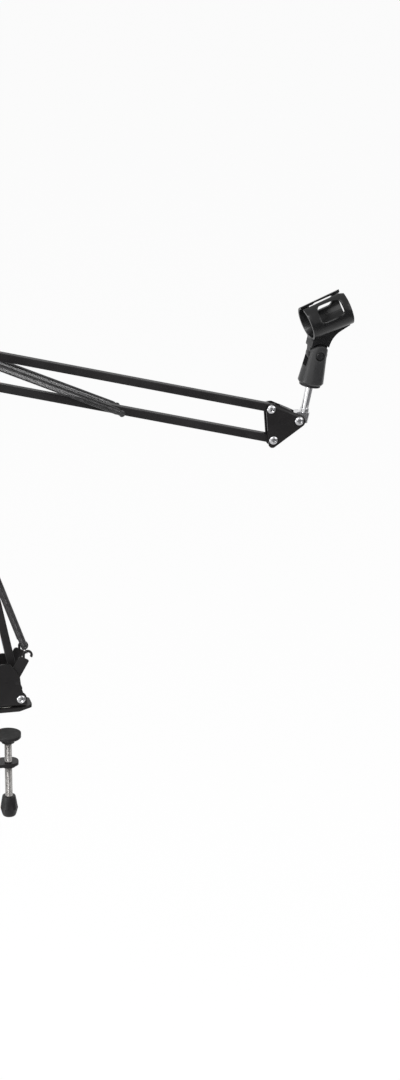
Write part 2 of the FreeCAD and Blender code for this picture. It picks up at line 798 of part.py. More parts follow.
def clamp_knob():
    """Fluted hand knob that widens towards its lower third."""
    bottom = KNOB_TOP - KNOB_HEIGHT
    widest = KNOB_TOP - KNOB_WIDEST_DEPTH
    body = turned([
        (0, KNOB_TOP),
        (KNOB_TOP_RADIUS, KNOB_TOP),
        (KNOB_RADIUS, widest),
        (KNOB_FOOT_RADIUS, bottom),
        (0, bottom),
    ])
    flute_out = KNOB_RADIUS + KNOB_FLUTE_RADIUS - KNOB_FLUTE_DEPTH
    for index in range(KNOB_FLUTES):
        turn = math.radians(360 * (index + 0.5) / KNOB_FLUTES)
        centre = Vector(flute_out * math.cos(turn), flute_out * math.sin(turn), 0)
        body = body.cut(upright(centre, KNOB_FLUTE_RADIUS, bottom, KNOB_TOP))
    body = body.cut(upright(Vector(0, 0, 0), SCREW_RADIUS, SCREW_BOTTOM, KNOB_TOP))
    return placed(body, Placement(SCREW_LINE, Rotation()))


def screw_pieces():
    """Pressure pad, clamp screw and knob."""
    return {
        "pressure_pad": pressure_pad(),
        "pad_liner": upright(SCREW_LINE, PAD_RADIUS, PAD_TOP - PAD_LINER_THICKNESS, PAD_TOP),
        "clamp_screw": clamp_screw(),
        "clamp_knob": clamp_knob(),
    }


# Base

def base_bracket():
    """Folded bracket: a floor on the swivel and two bell-shaped cheeks."""
    channel = slab([
        (-CHEEK_OUTER, FLOOR_BOTTOM, CHEEK_BEND + CHEEK_THICKNESS),
        (CHEEK_OUTER, FLOOR_BOTTOM, CHEEK_BEND + CHEEK_THICKNESS),
        (CHEEK_OUTER, CROWN_HEIGHT, 0),
        (CHEEK_INNER, CROWN_HEIGHT, 0),
        (CHEEK_INNER, FLOOR_TOP, CHEEK_BEND),
        (-CHEEK_INNER, FLOOR_TOP, CHEEK_BEND),
        (-CHEEK_INNER, CROWN_HEIGHT, 0),
        (-CHEEK_OUTER, CROWN_HEIGHT, 0),
    ], -FOOT_HALF_WIDTH, FOOT_HALF_WIDTH, on_side)
    bell = slab(mirrored([
        (FOOT_HALF_WIDTH, FLOOR_BOTTOM, 0),
        (FOOT_HALF_WIDTH, FOOT_TOP, FOOT_CORNER),
        (FLARE_HALF_WIDTH, FLARE_HEIGHT, FLARE_RADIUS),
        (WAIST_HALF_WIDTH, WAIST_HEIGHT, CHEEK_CORNER),
        (CROWN_HALF_WIDTH, CROWN_HEIGHT, CHEEK_CORNER),
    ]), -CHEEK_OUTER, CHEEK_OUTER)
    bracket = channel.common(bell)
    bracket = bracket.cut(upright(Vector(0, 0, 0), STUD_RADIUS + RUNNING_FIT, FLOOR_BOTTOM, FLOOR_TOP))
    for point in (BASE_LEFT, BASE_RIGHT):
        bracket = bracket.cut(pin(point, BOLT_RADIUS + BOLT_PLAY, -CHEEK_OUTER, CHEEK_OUTER))
    rivet = Vector(RIVET_X, 0, RIVET_Z)
    return bracket.cut(pin(rivet, RIVET_RADIUS, -CHEEK_OUTER, CHEEK_OUTER)).removeSplitter()


def spring_anchor(low, high):
    """Hooked plate inside a cheek that a lower spring hangs on."""
    eye = ANCHOR_EYE
    waist = Vector(ANCHOR_WAIST, 0, ANCHOR_WAIST_HIGH)
    shoulder = Vector(ANCHOR_SHOULDER_X, 0, ANCHOR_SHOULDER_Z)
    lean = (shoulder - waist).normalize()
    aside = Vector(-lean.z, 0, lean.x) * ANCHOR_LEG_WIDTH
    heel = waist + aside
    back = shoulder + aside
    plate = slab([
        (BASE_RIGHT.x - ANCHOR_BOSS_RADIUS, BASE_RIGHT.z, 0),
        (BASE_RIGHT.x + ANCHOR_BOSS_RADIUS, BASE_RIGHT.z, 0),
        (ANCHOR_WAIST, ANCHOR_WAIST_LOW, ANCHOR_CORNER),
        (waist.x, waist.z, ANCHOR_CORNER),
        (shoulder.x, shoulder.z, ANCHOR_SHOULDER_CORNER),
        (back.x, back.z, ANCHOR_HEEL_CORNER),
        (heel.x, heel.z, ANCHOR_HEEL_CORNER),
    ], low, high)
    stem_left = eye.x - ANCHOR_HOOK_OUTER
    stem_right = eye.x - ANCHOR_HOOK_INNER
    stem = slab([
        (stem_left, ANCHOR_SHOULDER_Z, 0),
        (stem_right, ANCHOR_SHOULDER_Z, 0),
        (stem_right, eye.z, 0),
        (stem_left, eye.z, 0),
    ], low, high)
    plate = plate.fuse(stem)
    hook = pin(eye, ANCHOR_HOOK_OUTER, low, high).cut(pin(eye, ANCHOR_HOOK_INNER, low, high))
    mouth = slab([
        (eye.x, eye.z, 0),
        (eye.x - 2 * ANCHOR_HOOK_OUTER, eye.z, 0),
        (eye.x, eye.z - 2 * ANCHOR_HOOK_OUTER, 0),
        (
            eye.x + polar(2 * ANCHOR_HOOK_OUTER, ANCHOR_HOOK_END).x,
            eye.z + polar(2 * ANCHOR_HOOK_OUTER, ANCHOR_HOOK_END).z,
            0,
        ),
    ], low, high)
    boss = pin(BASE_RIGHT, ANCHOR_BOSS_RADIUS, low, high)
    anchor = plate.fuse(hook.cut(mouth)).fuse(boss)
    foot = FLOOR_TOP + CHEEK_BEND
    corner = Vector(-FOOT_HALF_WIDTH, low, foot - CROWN_HEIGHT)
    anchor = anchor.cut(Part.makeBox(2 * FOOT_HALF_WIDTH, high - low, CROWN_HEIGHT, corner))
    anchor = anchor.cut(pin(BASE_RIGHT, BOLT_RADIUS + BOLT_PLAY, low, high))
    return anchor.cut(pin(Vector(RIVET_X, 0, RIVET_Z), RIVET_RADIUS, low, high)).removeSplitter()


def base_spacers():
    """Tubes on the base bolts that keep the bars in the middle."""
    spacers = []
    for point, outer in ((BASE_RIGHT, ANCHOR_INNER), (BASE_LEFT, CHEEK_INNER)):
        for low, high in ((-outer, -PLATE_INNER), (PLATE_INNER, outer)):
            tube = pin(point, SPACER_RADIUS, low, high)
            spacers.append(tube.cut(pin(point, BOLT_RADIUS, low, high)))
    return Part.Compound(spacers)


def lower_spring(side):
    """Spring from an anchor's hook to the pin on the lower right bar."""
    depth = Vector(0, side * LOWER_SPRING_DEPTH, 0)
    run = (LOWER_PIN - ANCHOR_EYE).normalize()
    half_bar = (ANCHOR_HOOK_OUTER - ANCHOR_HOOK_INNER) / 2
    hook_radius = math.hypot(half_bar, ANCHOR_THICKNESS / 2) + MOVING_GAP + WIRE_RADIUS
    seat = math.sqrt((hook_radius - WIRE_RADIUS) ** 2 - (ANCHOR_THICKNESS / 2) ** 2)
    start = ANCHOR_EYE + run * (ANCHOR_HOOK_INNER + seat - SPRING_PLAY) + depth
    end_radius = PIN_RADIUS + MOVING_GAP + WIRE_RADIUS
    end_side = run.cross(ACROSS)
    return coil_spring(start, LOWER_PIN + depth, ACROSS * side, end_side, hook_radius, end_radius)


def base_pieces():
    """Pieces that turn on the swivel, with the lower springs."""
    bolts, washers, nuts = bolt_set((BASE_LEFT, BASE_RIGHT), CHEEK_OUTER)
    rivet = Vector(RIVET_X, 0, RIVET_Z)
    rivets = [
        pin(rivet, RIVET_RADIUS, -CHEEK_OUTER, -ANCHOR_INNER),
        pin(rivet, RIVET_RADIUS, ANCHOR_INNER, CHEEK_OUTER),
    ]
    return {
        "base_bracket": base_bracket(),
        "spring_anchor_front": spring_anchor(-CHEEK_INNER, -ANCHOR_INNER),
        "spring_anchor_rear": spring_anchor(ANCHOR_INNER, CHEEK_INNER),
        "anchor_rivets": Part.Compound(rivets),
        "base_pivot_bolts": bolts,
        "base_pivot_washers": washers,
        "base_pivot_nuts": nuts,
        "base_spacers": base_spacers(),
        "lower_spring_front": lower_spring(-1),
        "lower_spring_rear": lower_spring(1),
    }


# Elbow

def elbow_plate(low, high):
    """Four-cornered plate with a hollowed long edge."""
    points = [ELBOW_LEFT, ELBOW_RIGHT, ELBOW_LOW, ELBOW_HIGH]
    corners = offset_corners(points, [ELBOW_MARGIN] * 4, [ELBOW_MARGIN] * 4)
    plate = slab(corners, low, high)
    run = (ELBOW_HIGH - ELBOW_LEFT).normalize()
    outward = Vector(-run.z, 0, run.x)
    edge_middle = (ELBOW_HIGH + ELBOW_LEFT) * 0.5 + outward * ELBOW_MARGIN
    bite = edge_middle + outward * (ELBOW_BITE_RADIUS - ELBOW_BITE_DEPTH)
    plate = plate.cut(pin(bite, ELBOW_BITE_RADIUS, low, high))
    for point in points:
        plate = plate.cut(pin(point, BOLT_RADIUS + BOLT_PLAY, low, high))
    return plate


def upper_spring(side):
    """Spring from the elbow's long pin to the pin on the upper bottom bar."""
    depth = Vector(0, side * UPPER_SPRING_DEPTH, 0)
    radius = PIN_RADIUS + MOVING_GAP + WIRE_RADIUS
    run = (UPPER_PIN - ELBOW_HIGH).normalize()
    hook_side = run.cross(ACROSS)
    start = ELBOW_HIGH + run * (MOVING_GAP - SPRING_PLAY) + depth
    return coil_spring(start, UPPER_PIN + depth, hook_side, hook_side, radius, radius)


def elbow_pieces():
    """Pieces that stay upright between the two arms, with the upper springs."""
    bolts, washers, nuts = bolt_set((ELBOW_LEFT, ELBOW_RIGHT, ELBOW_LOW), PLATE_OUTER)
    return {
        "elbow_plate_front": elbow_plate(-PLATE_OUTER, -PLATE_INNER),
        "elbow_plate_rear": elbow_plate(PLATE_INNER, PLATE_OUTER),
        "elbow_bolts": bolts,
        "elbow_washers": washers,
        "elbow_nuts": nuts,
        "elbow_spring_pin": spring_pin(ELBOW_HIGH, UPPER_PIN_REACH),
        "elbow_pin_clip": pin_clip(ELBOW_HIGH, UPPER_PIN_REACH),
        "upper_spring_front": upper_spring(-1),
        "upper_spring_rear": upper_spring(1),
    }


def arm_pieces():
    """The four bars with what is fixed in them."""
    pieces = {}
    pieces.update(bar_set("lower_right", BASE_RIGHT, ELBOW_RIGHT, LOWER_PIN))
    pieces.update(bar_set("lower_left", BASE_LEFT, ELBOW_LEFT))
    pieces.update(bar_set("upper_bottom", ELBOW_LOW, HEAD_LOW, UPPER_PIN))
    pieces.update(bar_set("upper_top", ELBOW_HIGH, HEAD_HIGH))
    pieces["lower_spring_pin"] = spring_pin(LOWER_PIN, LOWER_PIN_REACH)
    pieces["lower_pin_clip"] = pin_clip(LOWER_PIN, LOWER_PIN_REACH)
    pieces["upper_spring_pin"] = spring_pin(UPPER_PIN, UPPER_PIN_REACH)
    pieces["upper_pin_clip"] = pin_clip(UPPER_PIN, UPPER_PIN_REACH)
    return pieces


# Head

def head_bracket():
    """Folded three-cornered bracket: two plates and a web over their top edge."""
    points = [HEAD_LOW, TIP, HEAD_HIGH]
    margins = [HEAD_BOTTOM_MARGIN, HEAD_TOP_MARGIN, HEAD_LEFT_MARGIN]
    radii = [HEAD_LOW_CORNER, HEAD_TIP_RADIUS, HEAD_HIGH_CORNER]
    body = slab(offset_corners(points, margins, radii), -PLATE_OUTER, PLATE_OUTER)
    top_run = running_along(HEAD_HIGH, TIP)
    length = (TIP - HEAD_HIGH).Length
    past = 2 * UPPER_SPREAD
    fold = slab([
        (-PLATE_OUTER, -past, 0),
        (PLATE_OUTER, -past, 0),
        (PLATE_OUTER, HEAD_TOP_MARGIN, HEAD_FOLD_RADIUS),
        (-PLATE_OUTER, HEAD_TOP_MARGIN, HEAD_FOLD_RADIUS),
    ], -past, length + past, on_side)
    body = body.common(placed(fold, top_run))
    web_floor = HEAD_TOP_MARGIN - PLATE_THICKNESS
    web_end = length - HEAD_WEB_BEFORE_TIP
    under_web = slab([
        (-PLATE_INNER, -past, 0),
        (PLATE_INNER, -past, 0),
        (PLATE_INNER, web_floor, HEAD_FOLD_RADIUS - PLATE_THICKNESS),
        (-PLATE_INNER, web_floor, HEAD_FOLD_RADIUS - PLATE_THICKNESS),
    ], -past, length + past, on_side)
    slot_height = past + 2 * HEAD_TOP_MARGIN
    before_web = Part.makeBox(past + HEAD_WEB_FROM, 2 * PLATE_INNER, slot_height,
                              Vector(-past, -PLATE_INNER, -past))
    after_web = Part.makeBox(past, 2 * PLATE_INNER, slot_height,
                             Vector(web_end, -PLATE_INNER, -past))
    for slot in (under_web, before_web, after_web):
        body = body.cut(placed(slot, top_run))
    for point in points:
        body = body.cut(pin(point, BOLT_RADIUS + BOLT_PLAY, -PLATE_OUTER, PLATE_OUTER))
    return body.removeSplitter()


def head_pieces():
    """Bracket that stays upright at the arm's end, with its bolts."""
    bolts, washers, nuts = bolt_set((HEAD_LOW, HEAD_HIGH, TIP), PLATE_OUTER)
    return {
        "head_bracket": head_bracket(),
        "head_bolts": bolts,
        "head_washers": washers,
        "head_nuts": nuts,
    }


def swivel_lug():
    """Block on the tip bolt with a rounded side and collar that hold the post."""
    block = slab([
        (-LUG_LEFT, LUG_BOTTOM, LUG_ROUND),
        (POST_OFFSET, LUG_BOTTOM, LUG_HEEL),
        (POST_OFFSET, LUG_TOP, 0),
        (-LUG_LEFT, LUG_TOP, LUG_ROUND),
    ], -LUG_HALF_DEPTH, LUG_HALF_DEPTH)
    post_line = Vector(POST_OFFSET, 0, 0)
    barrel = upright(post_line, LUG_BARREL_RADIUS, LUG_BARREL_BOTTOM, LUG_TOP)
    reach = POST_OFFSET + LUG_BARREL_RADIUS
    between_plates = Part.makeBox(
        reach, 2 * LUG_HALF_DEPTH, LUG_TOP - LUG_BOTTOM, Vector(0, -LUG_HALF_DEPTH, LUG_BOTTOM)
    )
    lug = block.fuse(barrel.common(between_plates))
    lug = lug.fuse(upright(post_line, COLLAR_RADIUS, 0, COLLAR_TOP))
    lug = lug.cut(upright(post_line, POST_RADIUS, POST_FOOT, COLLAR_TOP))
    pivot = pin(Vector(0, 0, 0), BOLT_RADIUS + RUNNING_FIT, -LUG_HALF_DEPTH, LUG_HALF_DEPTH)
    return placed(lug.cut(pivot).removeSplitter(), Placement(TIP, Rotation(ACROSS, POST_LEAN)))


def mic_post():
    """Bright round post from the lug up into the clip's insert."""
    top = KNUCKLE_RISE - POST_BELOW_KNUCKLE
    post = turned([
        (0, POST_FOOT),
        (POST_RADIUS, POST_FOOT),
        (POST_RADIUS, top - POST_CHAMFER),
        (POST_RADIUS - POST_CHAMFER, top),
        (0, top),
    ])
    post = placed(post, Placement(Vector(POST_OFFSET, 0, 0), Rotation()))
    pivot = pin(Vector(0, 0, 0), BOLT_RADIUS + RUNNING_FIT, -LUG_HALF_DEPTH, LUG_HALF_DEPTH)
    return placed(post.cut(pivot), Placement(TIP, Rotation(ACROSS, POST_LEAN)))


# Clip

def clip_base():
    """Forked plastic base with a recessed knuckle and a bore for the insert."""
    origin = Vector(0, 0, 0)
    body = turned([
        (0, CLIP_BASE_BOTTOM),
        (CLIP_BASE_FOOT_RADIUS, CLIP_BASE_BOTTOM),
        (CLIP_BASE_RADIUS, CLIP_BASE_WIDEST),
        (EAR_RADIUS, 0),
        (0, 0),
    ])
    ears = upright(origin, EAR_RADIUS, 0, EAR_RADIUS)
    body = body.fuse(ears.common(pin(origin, EAR_RADIUS, -EAR_RADIUS, EAR_RADIUS)))
    slot = Part.makeBox(4 * EAR_RADIUS, 2 * EAR_SLOT_HALF, 2 * EAR_RADIUS - EAR_SLOT_BOTTOM,
                        Vector(-2 * EAR_RADIUS, -EAR_SLOT_HALF, EAR_SLOT_BOTTOM))
    body = body.cut(slot)
    body = body.cut(pin(origin, BOLT_RADIUS + BOLT_PLAY, -EAR_RADIUS, EAR_RADIUS))
    body = body.cut(pin(origin, KNUCKLE_RECESS_RADIUS, -2 * EAR_RADIUS, -KNUCKLE_RECESS_FLOOR))
    nut_recess = laid_across(hexagon(NUT_FLATS, 0, EAR_RADIUS), origin, KNUCKLE_NUT_FLOOR)
    body = body.cut(nut_recess)
    insert_top = CLIP_BASE_BOTTOM + INSERT_LENGTH
    body = body.cut(upright(origin, INSERT_RADIUS, CLIP_BASE_BOTTOM, insert_top))
    return body.removeSplitter()


def thread_insert():
    """Flanged metal insert in the clip's foot that runs on the post."""
    origin = Vector(0, 0, 0)
    low = CLIP_BASE_BOTTOM - INSERT_FLANGE
    high = CLIP_BASE_BOTTOM + INSERT_LENGTH
    insert = upright(origin, INSERT_RADIUS, CLIP_BASE_BOTTOM, high)
    insert = insert.fuse(upright(origin, INSERT_FLANGE_RADIUS, low, CLIP_BASE_BOTTOM))
    return insert.cut(upright(origin, POST_RADIUS + RUNNING_FIT, low, high)).removeSplitter()


def knuckle_screw():
    """Screw through the ears, its head sunk in the front recess."""
    origin = Vector(0, 0, 0)
    length = KNUCKLE_RECESS_FLOOR + KNUCKLE_NUT_FLOOR + KNUCKLE_NUT_HEIGHT
    screw = turned([
        (0, -KNUCKLE_HEAD_HEIGHT),
        (KNUCKLE_HEAD_FACE_RADIUS, -KNUCKLE_HEAD_HEIGHT),
        (KNUCKLE_HEAD_RADIUS, -KNUCKLE_HEAD_RIM),
        (KNUCKLE_HEAD_RADIUS, 0),
        (BOLT_RADIUS, 0),
        (BOLT_RADIUS, length),
        (0, length),
    ])
    return laid_across(screw, origin, -KNUCKLE_RECESS_FLOOR)


def knuckle_nut():
    """Hexagon nut in the rear recess."""
    nut = hexagon(NUT_FLATS, 0, KNUCKLE_NUT_HEIGHT)
    nut = nut.cut(upright(Vector(0, 0, 0), BOLT_RADIUS, 0, KNUCKLE_NUT_HEIGHT))
    return laid_across(nut, Vector(0, 0, 0), KNUCKLE_NUT_FLOOR)


def clip_neck():
    """Curved neck between the knuckle's tongue and the barrel's underside."""
    neck_end = BARREL_FROM + BARREL_LENGTH - NECK_END_RIM
    corners = [
        (NECK_REAR, NECK_REAR_RISE, NECK_FOOT_CORNER),
        (0, 0, 0),
        (NECK_FRONT, NECK_FRONT_RISE, NECK_FOOT_CORNER),
        (NECK_BEND, NECK_BEND_RISE, NECK_SWEEP),
        (neck_end, NECK_END_RISE, 0),
        (neck_end, BARREL_RISE, 0),
        (BARREL_FROM, BARREL_RISE, 0),
        (BARREL_FROM, NECK_HEEL_RISE, NECK_HEEL_CORNER),
        (NECK_BACK, NECK_BACK_RISE, NECK_BACK_CORNER),
    ]
    origin = Vector(0, 0, 0)
    wide = slab(corners, -NECK_HALF, NECK_HALF)
    wide = wide.cut(pin(origin, NECK_CLEAR_RADIUS, -NECK_HALF, NECK_HALF))
    tongue_half = EAR_SLOT_HALF - MOVING_GAP
    tongue = slab(corners, -tongue_half, tongue_half)
    tongue = tongue.fuse(pin(origin, TONGUE_RADIUS, -tongue_half, tongue_half))
    return wide.fuse(tongue)


def clip_holder():
    """Split barrel with side windows on a curved neck."""
    end = BARREL_FROM + BARREL_LENGTH
    barrel = Part.makeCone(
        BARREL_REAR_RADIUS, BARREL_FRONT_RADIUS, BARREL_LENGTH,
        Vector(BARREL_FROM, 0, BARREL_RISE), Vector(1, 0, 0),
    )
    bore = Part.makeCylinder(
        BARREL_BORE, BARREL_LENGTH,
        Vector(BARREL_FROM, 0, BARREL_RISE), Vector(1, 0, 0),
    )
    holder = barrel.fuse(clip_neck()).cut(bore)
    half_slit = SLIT_WIDTH / 2
    half_mouth = SLIT_MOUTH / 2
    top = BARREL_RISE + 2 * BARREL_FRONT_RADIUS
    slit = slab([
        (BARREL_FROM, -half_slit, 0),
        (end - SLIT_MOUTH_LENGTH, -half_slit, 0),
        (end, -half_mouth, 0),
        (end, half_mouth, 0),
        (end - SLIT_MOUTH_LENGTH, half_slit, 0),
        (BARREL_FROM, half_slit, 0),
    ], BARREL_RISE, top, on_plan)
    window_rear = BARREL_FROM + WINDOW_REAR_RIM
    window_front = end - WINDOW_FRONT_RIM
    window = slab([
        (window_rear, BARREL_RISE + WINDOW_LOW, WINDOW_CORNER),
        (window_front, BARREL_RISE + WINDOW_LOW, WINDOW_CORNER),
        (window_front, BARREL_RISE + WINDOW_HIGH, WINDOW_CORNER),
        (window_rear, BARREL_RISE + WINDOW_HIGH, WINDOW_CORNER),
    ], -2 * BARREL_BORE, 2 * BARREL_BORE)
    pivot = pin(Vector(0, 0, 0), BOLT_RADIUS + RUNNING_FIT, -EAR_SLOT_HALF, EAR_SLOT_HALF)
    return holder.cut(slit).cut(window).cut(pivot).removeSplitter()


def clip_pieces():
    """Clip base, insert, knuckle screw and clip holder, set on the post."""
    on_post = Placement(KNUCKLE, CLIP_ROTATION.multiply(Rotation(ACROSS, POST_LEAN)))
    risen = Placement(KNUCKLE, CLIP_ROTATION.multiply(Rotation(ACROSS, -CLIP_RISE)))
    return {
        "clip_base": placed(clip_base(), on_post),
        "thread_insert": placed(thread_insert(), on_post),
        "knuckle_screw": placed(knuckle_screw(), on_post),
        "knuckle_nut": placed(knuckle_nut(), on_post),
        "clip_holder": placed(clip_holder(), risen),
    }


def main():
    """Build every piece and write it under its name."""
    pieces = {}
    for group in (clamp_pieces, screw_pieces, base_pieces, arm_pieces, elbow_pieces, head_pieces):
        pieces.update(group())
    pieces["swivel_lug"] = swivel_lug()
    pieces["mic_post"] = mic_post()
    pieces.update(clip_pieces())
    os.makedirs("parts", exist_ok=True)
    for name, shape in pieces.items():
        shape.exportStep(f"parts/{name}.step")
    print(f"{len(pieces)} pieces written")


if __name__ == "__main__":
    main()
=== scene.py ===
"""Dressed model of a clamp-on scissor arm with outside springs and a plastic clip.

Lengths are metres in the frame's own axes: x to the right, y away from the
viewer, z up.  Turned profiles, fasteners, the clamp and the depths of finishes
are in millimetres.
"""

import json
import logging
import math
from dataclasses import dataclass, field
from enum import Enum
from functools import cache
from typing import Callable, Optional, Sequence

import bpy
from mathutils import Matrix, Vector

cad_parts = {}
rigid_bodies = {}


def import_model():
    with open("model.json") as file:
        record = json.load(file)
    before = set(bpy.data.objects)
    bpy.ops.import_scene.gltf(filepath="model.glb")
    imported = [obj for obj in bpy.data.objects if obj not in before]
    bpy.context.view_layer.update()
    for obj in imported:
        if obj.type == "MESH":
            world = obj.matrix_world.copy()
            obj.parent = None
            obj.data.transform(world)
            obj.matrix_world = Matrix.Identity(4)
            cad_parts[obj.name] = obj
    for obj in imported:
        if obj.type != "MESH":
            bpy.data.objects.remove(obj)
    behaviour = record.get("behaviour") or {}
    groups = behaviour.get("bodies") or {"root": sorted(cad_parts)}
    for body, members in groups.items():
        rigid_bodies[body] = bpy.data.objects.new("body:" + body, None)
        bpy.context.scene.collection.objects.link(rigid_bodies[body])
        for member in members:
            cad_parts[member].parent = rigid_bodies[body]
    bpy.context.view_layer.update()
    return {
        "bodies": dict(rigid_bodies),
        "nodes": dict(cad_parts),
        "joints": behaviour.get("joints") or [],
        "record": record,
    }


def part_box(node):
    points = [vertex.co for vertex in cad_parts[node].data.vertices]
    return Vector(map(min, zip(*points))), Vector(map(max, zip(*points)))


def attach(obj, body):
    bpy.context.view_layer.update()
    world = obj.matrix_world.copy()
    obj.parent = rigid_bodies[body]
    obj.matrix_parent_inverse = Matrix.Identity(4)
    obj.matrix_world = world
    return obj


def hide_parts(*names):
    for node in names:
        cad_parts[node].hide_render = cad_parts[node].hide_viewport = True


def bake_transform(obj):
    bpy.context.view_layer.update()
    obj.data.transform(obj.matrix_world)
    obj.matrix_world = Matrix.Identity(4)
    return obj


LOG = logging.getLogger("boom_arm")
MM = 0.001
IMAGE_WIDTH = 400
IMAGE_HEIGHT = 1080
ACROSS = Vector((0.0, 1.0, 0.0))
ARM_MIDDLE = Vector((0.13, 0.0, 0.2))
WHITE = (1.0, 1.0, 1.0, 1.0)
FULL_SPAN = (0.0, 1.0)
SOFT_CREASE = 32.0
BARS = ("lower_right", "lower_left", "upper_bottom", "upper_top")
PINS = ("lower", "upper", "elbow")

Colour = tuple[float, float, float]
Span = tuple[float, float]
Socket = bpy.types.NodeSocket
Profile = Sequence[Span]
Wave = Callable[[float, float, float], float]


class Slot(Enum):
    """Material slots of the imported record."""

    PAINT = "black_paint"
    PLASTIC = "black_plastic"
    ZINC = "zinc"
    SPRING = "spring_steel"
    CHROME = "chrome"
    RUBBER = "rubber"
    NYLON = "nylon"
    INSERT = "insert"


class Side(Enum):
    """Front or rear of the arm's plane."""

    FRONT = -1
    REAR = 1


# Finishes

class NodeBench:
    """Adds and links shader nodes in one material."""

    EDGE_SAMPLES: int = 4
    EDGE_FACING: Span = (0.99, 0.84)

    def __init__(self, name: str) -> None:
        """Start a material that holds only its surface shader.

        Args:
            name: name of the material.
        """
        self.material = bpy.data.materials.new(name)
        self.material.use_nodes = True
        self.tree = self.material.node_tree
        self.shader = self.tree.nodes["Principled BSDF"]

    def add(self, kind: str, **settings: object) -> bpy.types.Node:
        """Add a node.

        Args:
            kind: Blender's name of the node type.
            settings: properties to set on the node.

        Returns:
            The new node.
        """
        node = self.tree.nodes.new(kind)
        for key, value in settings.items():
            setattr(node, key, value)
        return node

    def link(self, source: Socket, target: Socket) -> None:
        """Join an output socket to an input socket."""
        self.tree.links.new(source, target)

    def place(self) -> Socket:
        """Coordinates of the object."""
        return self.add("ShaderNodeTexCoord").outputs["Object"]

    def noise(self, place: Socket, scale: float, detail: float = 3.0) -> Socket:
        """Cloudy noise at a place.

        Args:
            place: coordinates to read.
            scale: clouds per metre.
            detail: octaves of finer noise.

        Returns:
            The socket with the noise, about 0.3 to 0.7.
        """
        node = self.add("ShaderNodeTexNoise")
        node.inputs["Scale"].default_value = scale
        node.inputs["Detail"].default_value = detail
        self.link(place, node.inputs["Vector"])
        return node.outputs["Fac"]

    def remap(self, value: Socket, source: Span, target: Span) -> Socket:
        """Stretch a value from one range to another, clamped.

        Args:
            value: socket to read.
            source: range of the value.
            target: range of the result.

        Returns:
            The socket with the result.
        """
        node = self.add("ShaderNodeMapRange")
        self.link(value, node.inputs["Value"])
        node.inputs["From Min"].default_value, node.inputs["From Max"].default_value = source
        node.inputs["To Min"].default_value, node.inputs["To Max"].default_value = target
        return node.outputs["Result"]

    def mix(self, share: Socket, first: object, second: Colour) -> Socket:
        """Blend of two colours.

        Args:
            share: socket with the share of the second colour.
            first: a colour, or a socket that carries one.
            second: colour where the share is 1.

        Returns:
            The socket with the blended colour.
        """
        node = self.add("ShaderNodeMix", data_type="RGBA")
        colour_inputs = [item for item in node.inputs if item.type == "RGBA"]
        self.link(share, node.inputs["Factor"])
        if isinstance(first, Socket):
            self.link(first, colour_inputs[0])
        else:
            colour_inputs[0].default_value = (*first, 1.0)
        colour_inputs[1].default_value = (*second, 1.0)
        return [item for item in node.outputs if item.type == "RGBA"][0]

    def edges(self, radius: float, strength: Socket) -> Socket:
        """Mask of the sharp edges.

        Args:
            radius: how far the mask reaches from an edge.
            strength: socket with the mask's value on an edge.

        Returns:
            The socket with the strength on edges and 0 on faces.
        """
        bevel = self.add("ShaderNodeBevel", samples=self.EDGE_SAMPLES)
        bevel.inputs["Radius"].default_value = radius
        geometry = self.add("ShaderNodeNewGeometry")
        facing = self.add("ShaderNodeVectorMath", operation="DOT_PRODUCT")
        self.link(bevel.outputs["Normal"], facing.inputs[0])
        self.link(geometry.outputs["Normal"], facing.inputs[1])
        mask = self.remap(facing.outputs["Value"], self.EDGE_FACING, FULL_SPAN)
        self.link(strength, mask.node.inputs["To Max"])
        return mask

    def bump(self, height: Socket, depth: float) -> None:
        """Lift the surface by a height.

        Args:
            height: socket with the height, 0 to 1.
            depth: metres from the lowest to the highest place.
        """
        node = self.add("ShaderNodeBump")
        node.inputs["Distance"].default_value = depth
        self.link(height, node.inputs["Height"])
        self.link(node.outputs["Normal"], self.shader.inputs["Normal"])


@dataclass(frozen=True)
class Finish:
    """A surface with clouded colour, uneven gloss and a fine grain."""

    name: str
    slot: Slot
    colour: Colour
    cloud: Colour
    roughness: float
    uneven: float = 0.06
    metallic: float = 0.0
    specular: float = 0.5
    cloud_scale: float = 60.0
    grain_scale: float = 1500.0
    grain_depth: float = 0.02
    grain_detail: float = 2.0
    cloud_span: Span = (0.35, 0.65)
    gloss_span: Span = (0.3, 0.7)
    gloss_finer: float = 2.7

    @cache
    def material(self) -> bpy.types.Material:
        """Material of this finish, built once.

        Returns:
            The finished material.
        """
        bench = NodeBench(self.name)
        place = bench.place()
        share = bench.remap(bench.noise(place, self.cloud_scale), self.cloud_span, FULL_SPAN)
        self.paint(bench, bench.mix(share, self.colour, self.cloud), place)
        gloss = bench.noise(place, self.gloss_finer * self.cloud_scale)
        span = (self.roughness - self.uneven, self.roughness + self.uneven)
        bench.link(bench.remap(gloss, self.gloss_span, span), bench.shader.inputs["Roughness"])
        bench.bump(bench.noise(place, self.grain_scale, self.grain_detail), self.grain_depth * MM)
        bench.shader.inputs["Metallic"].default_value = self.metallic
        bench.shader.inputs["Specular IOR Level"].default_value = self.specular
        return bench.material

    def paint(self, bench: NodeBench, colour: Socket, place: Socket) -> None:
        """Lay the clouded colour on the shader."""
        bench.link(colour, bench.shader.inputs["Base Color"])


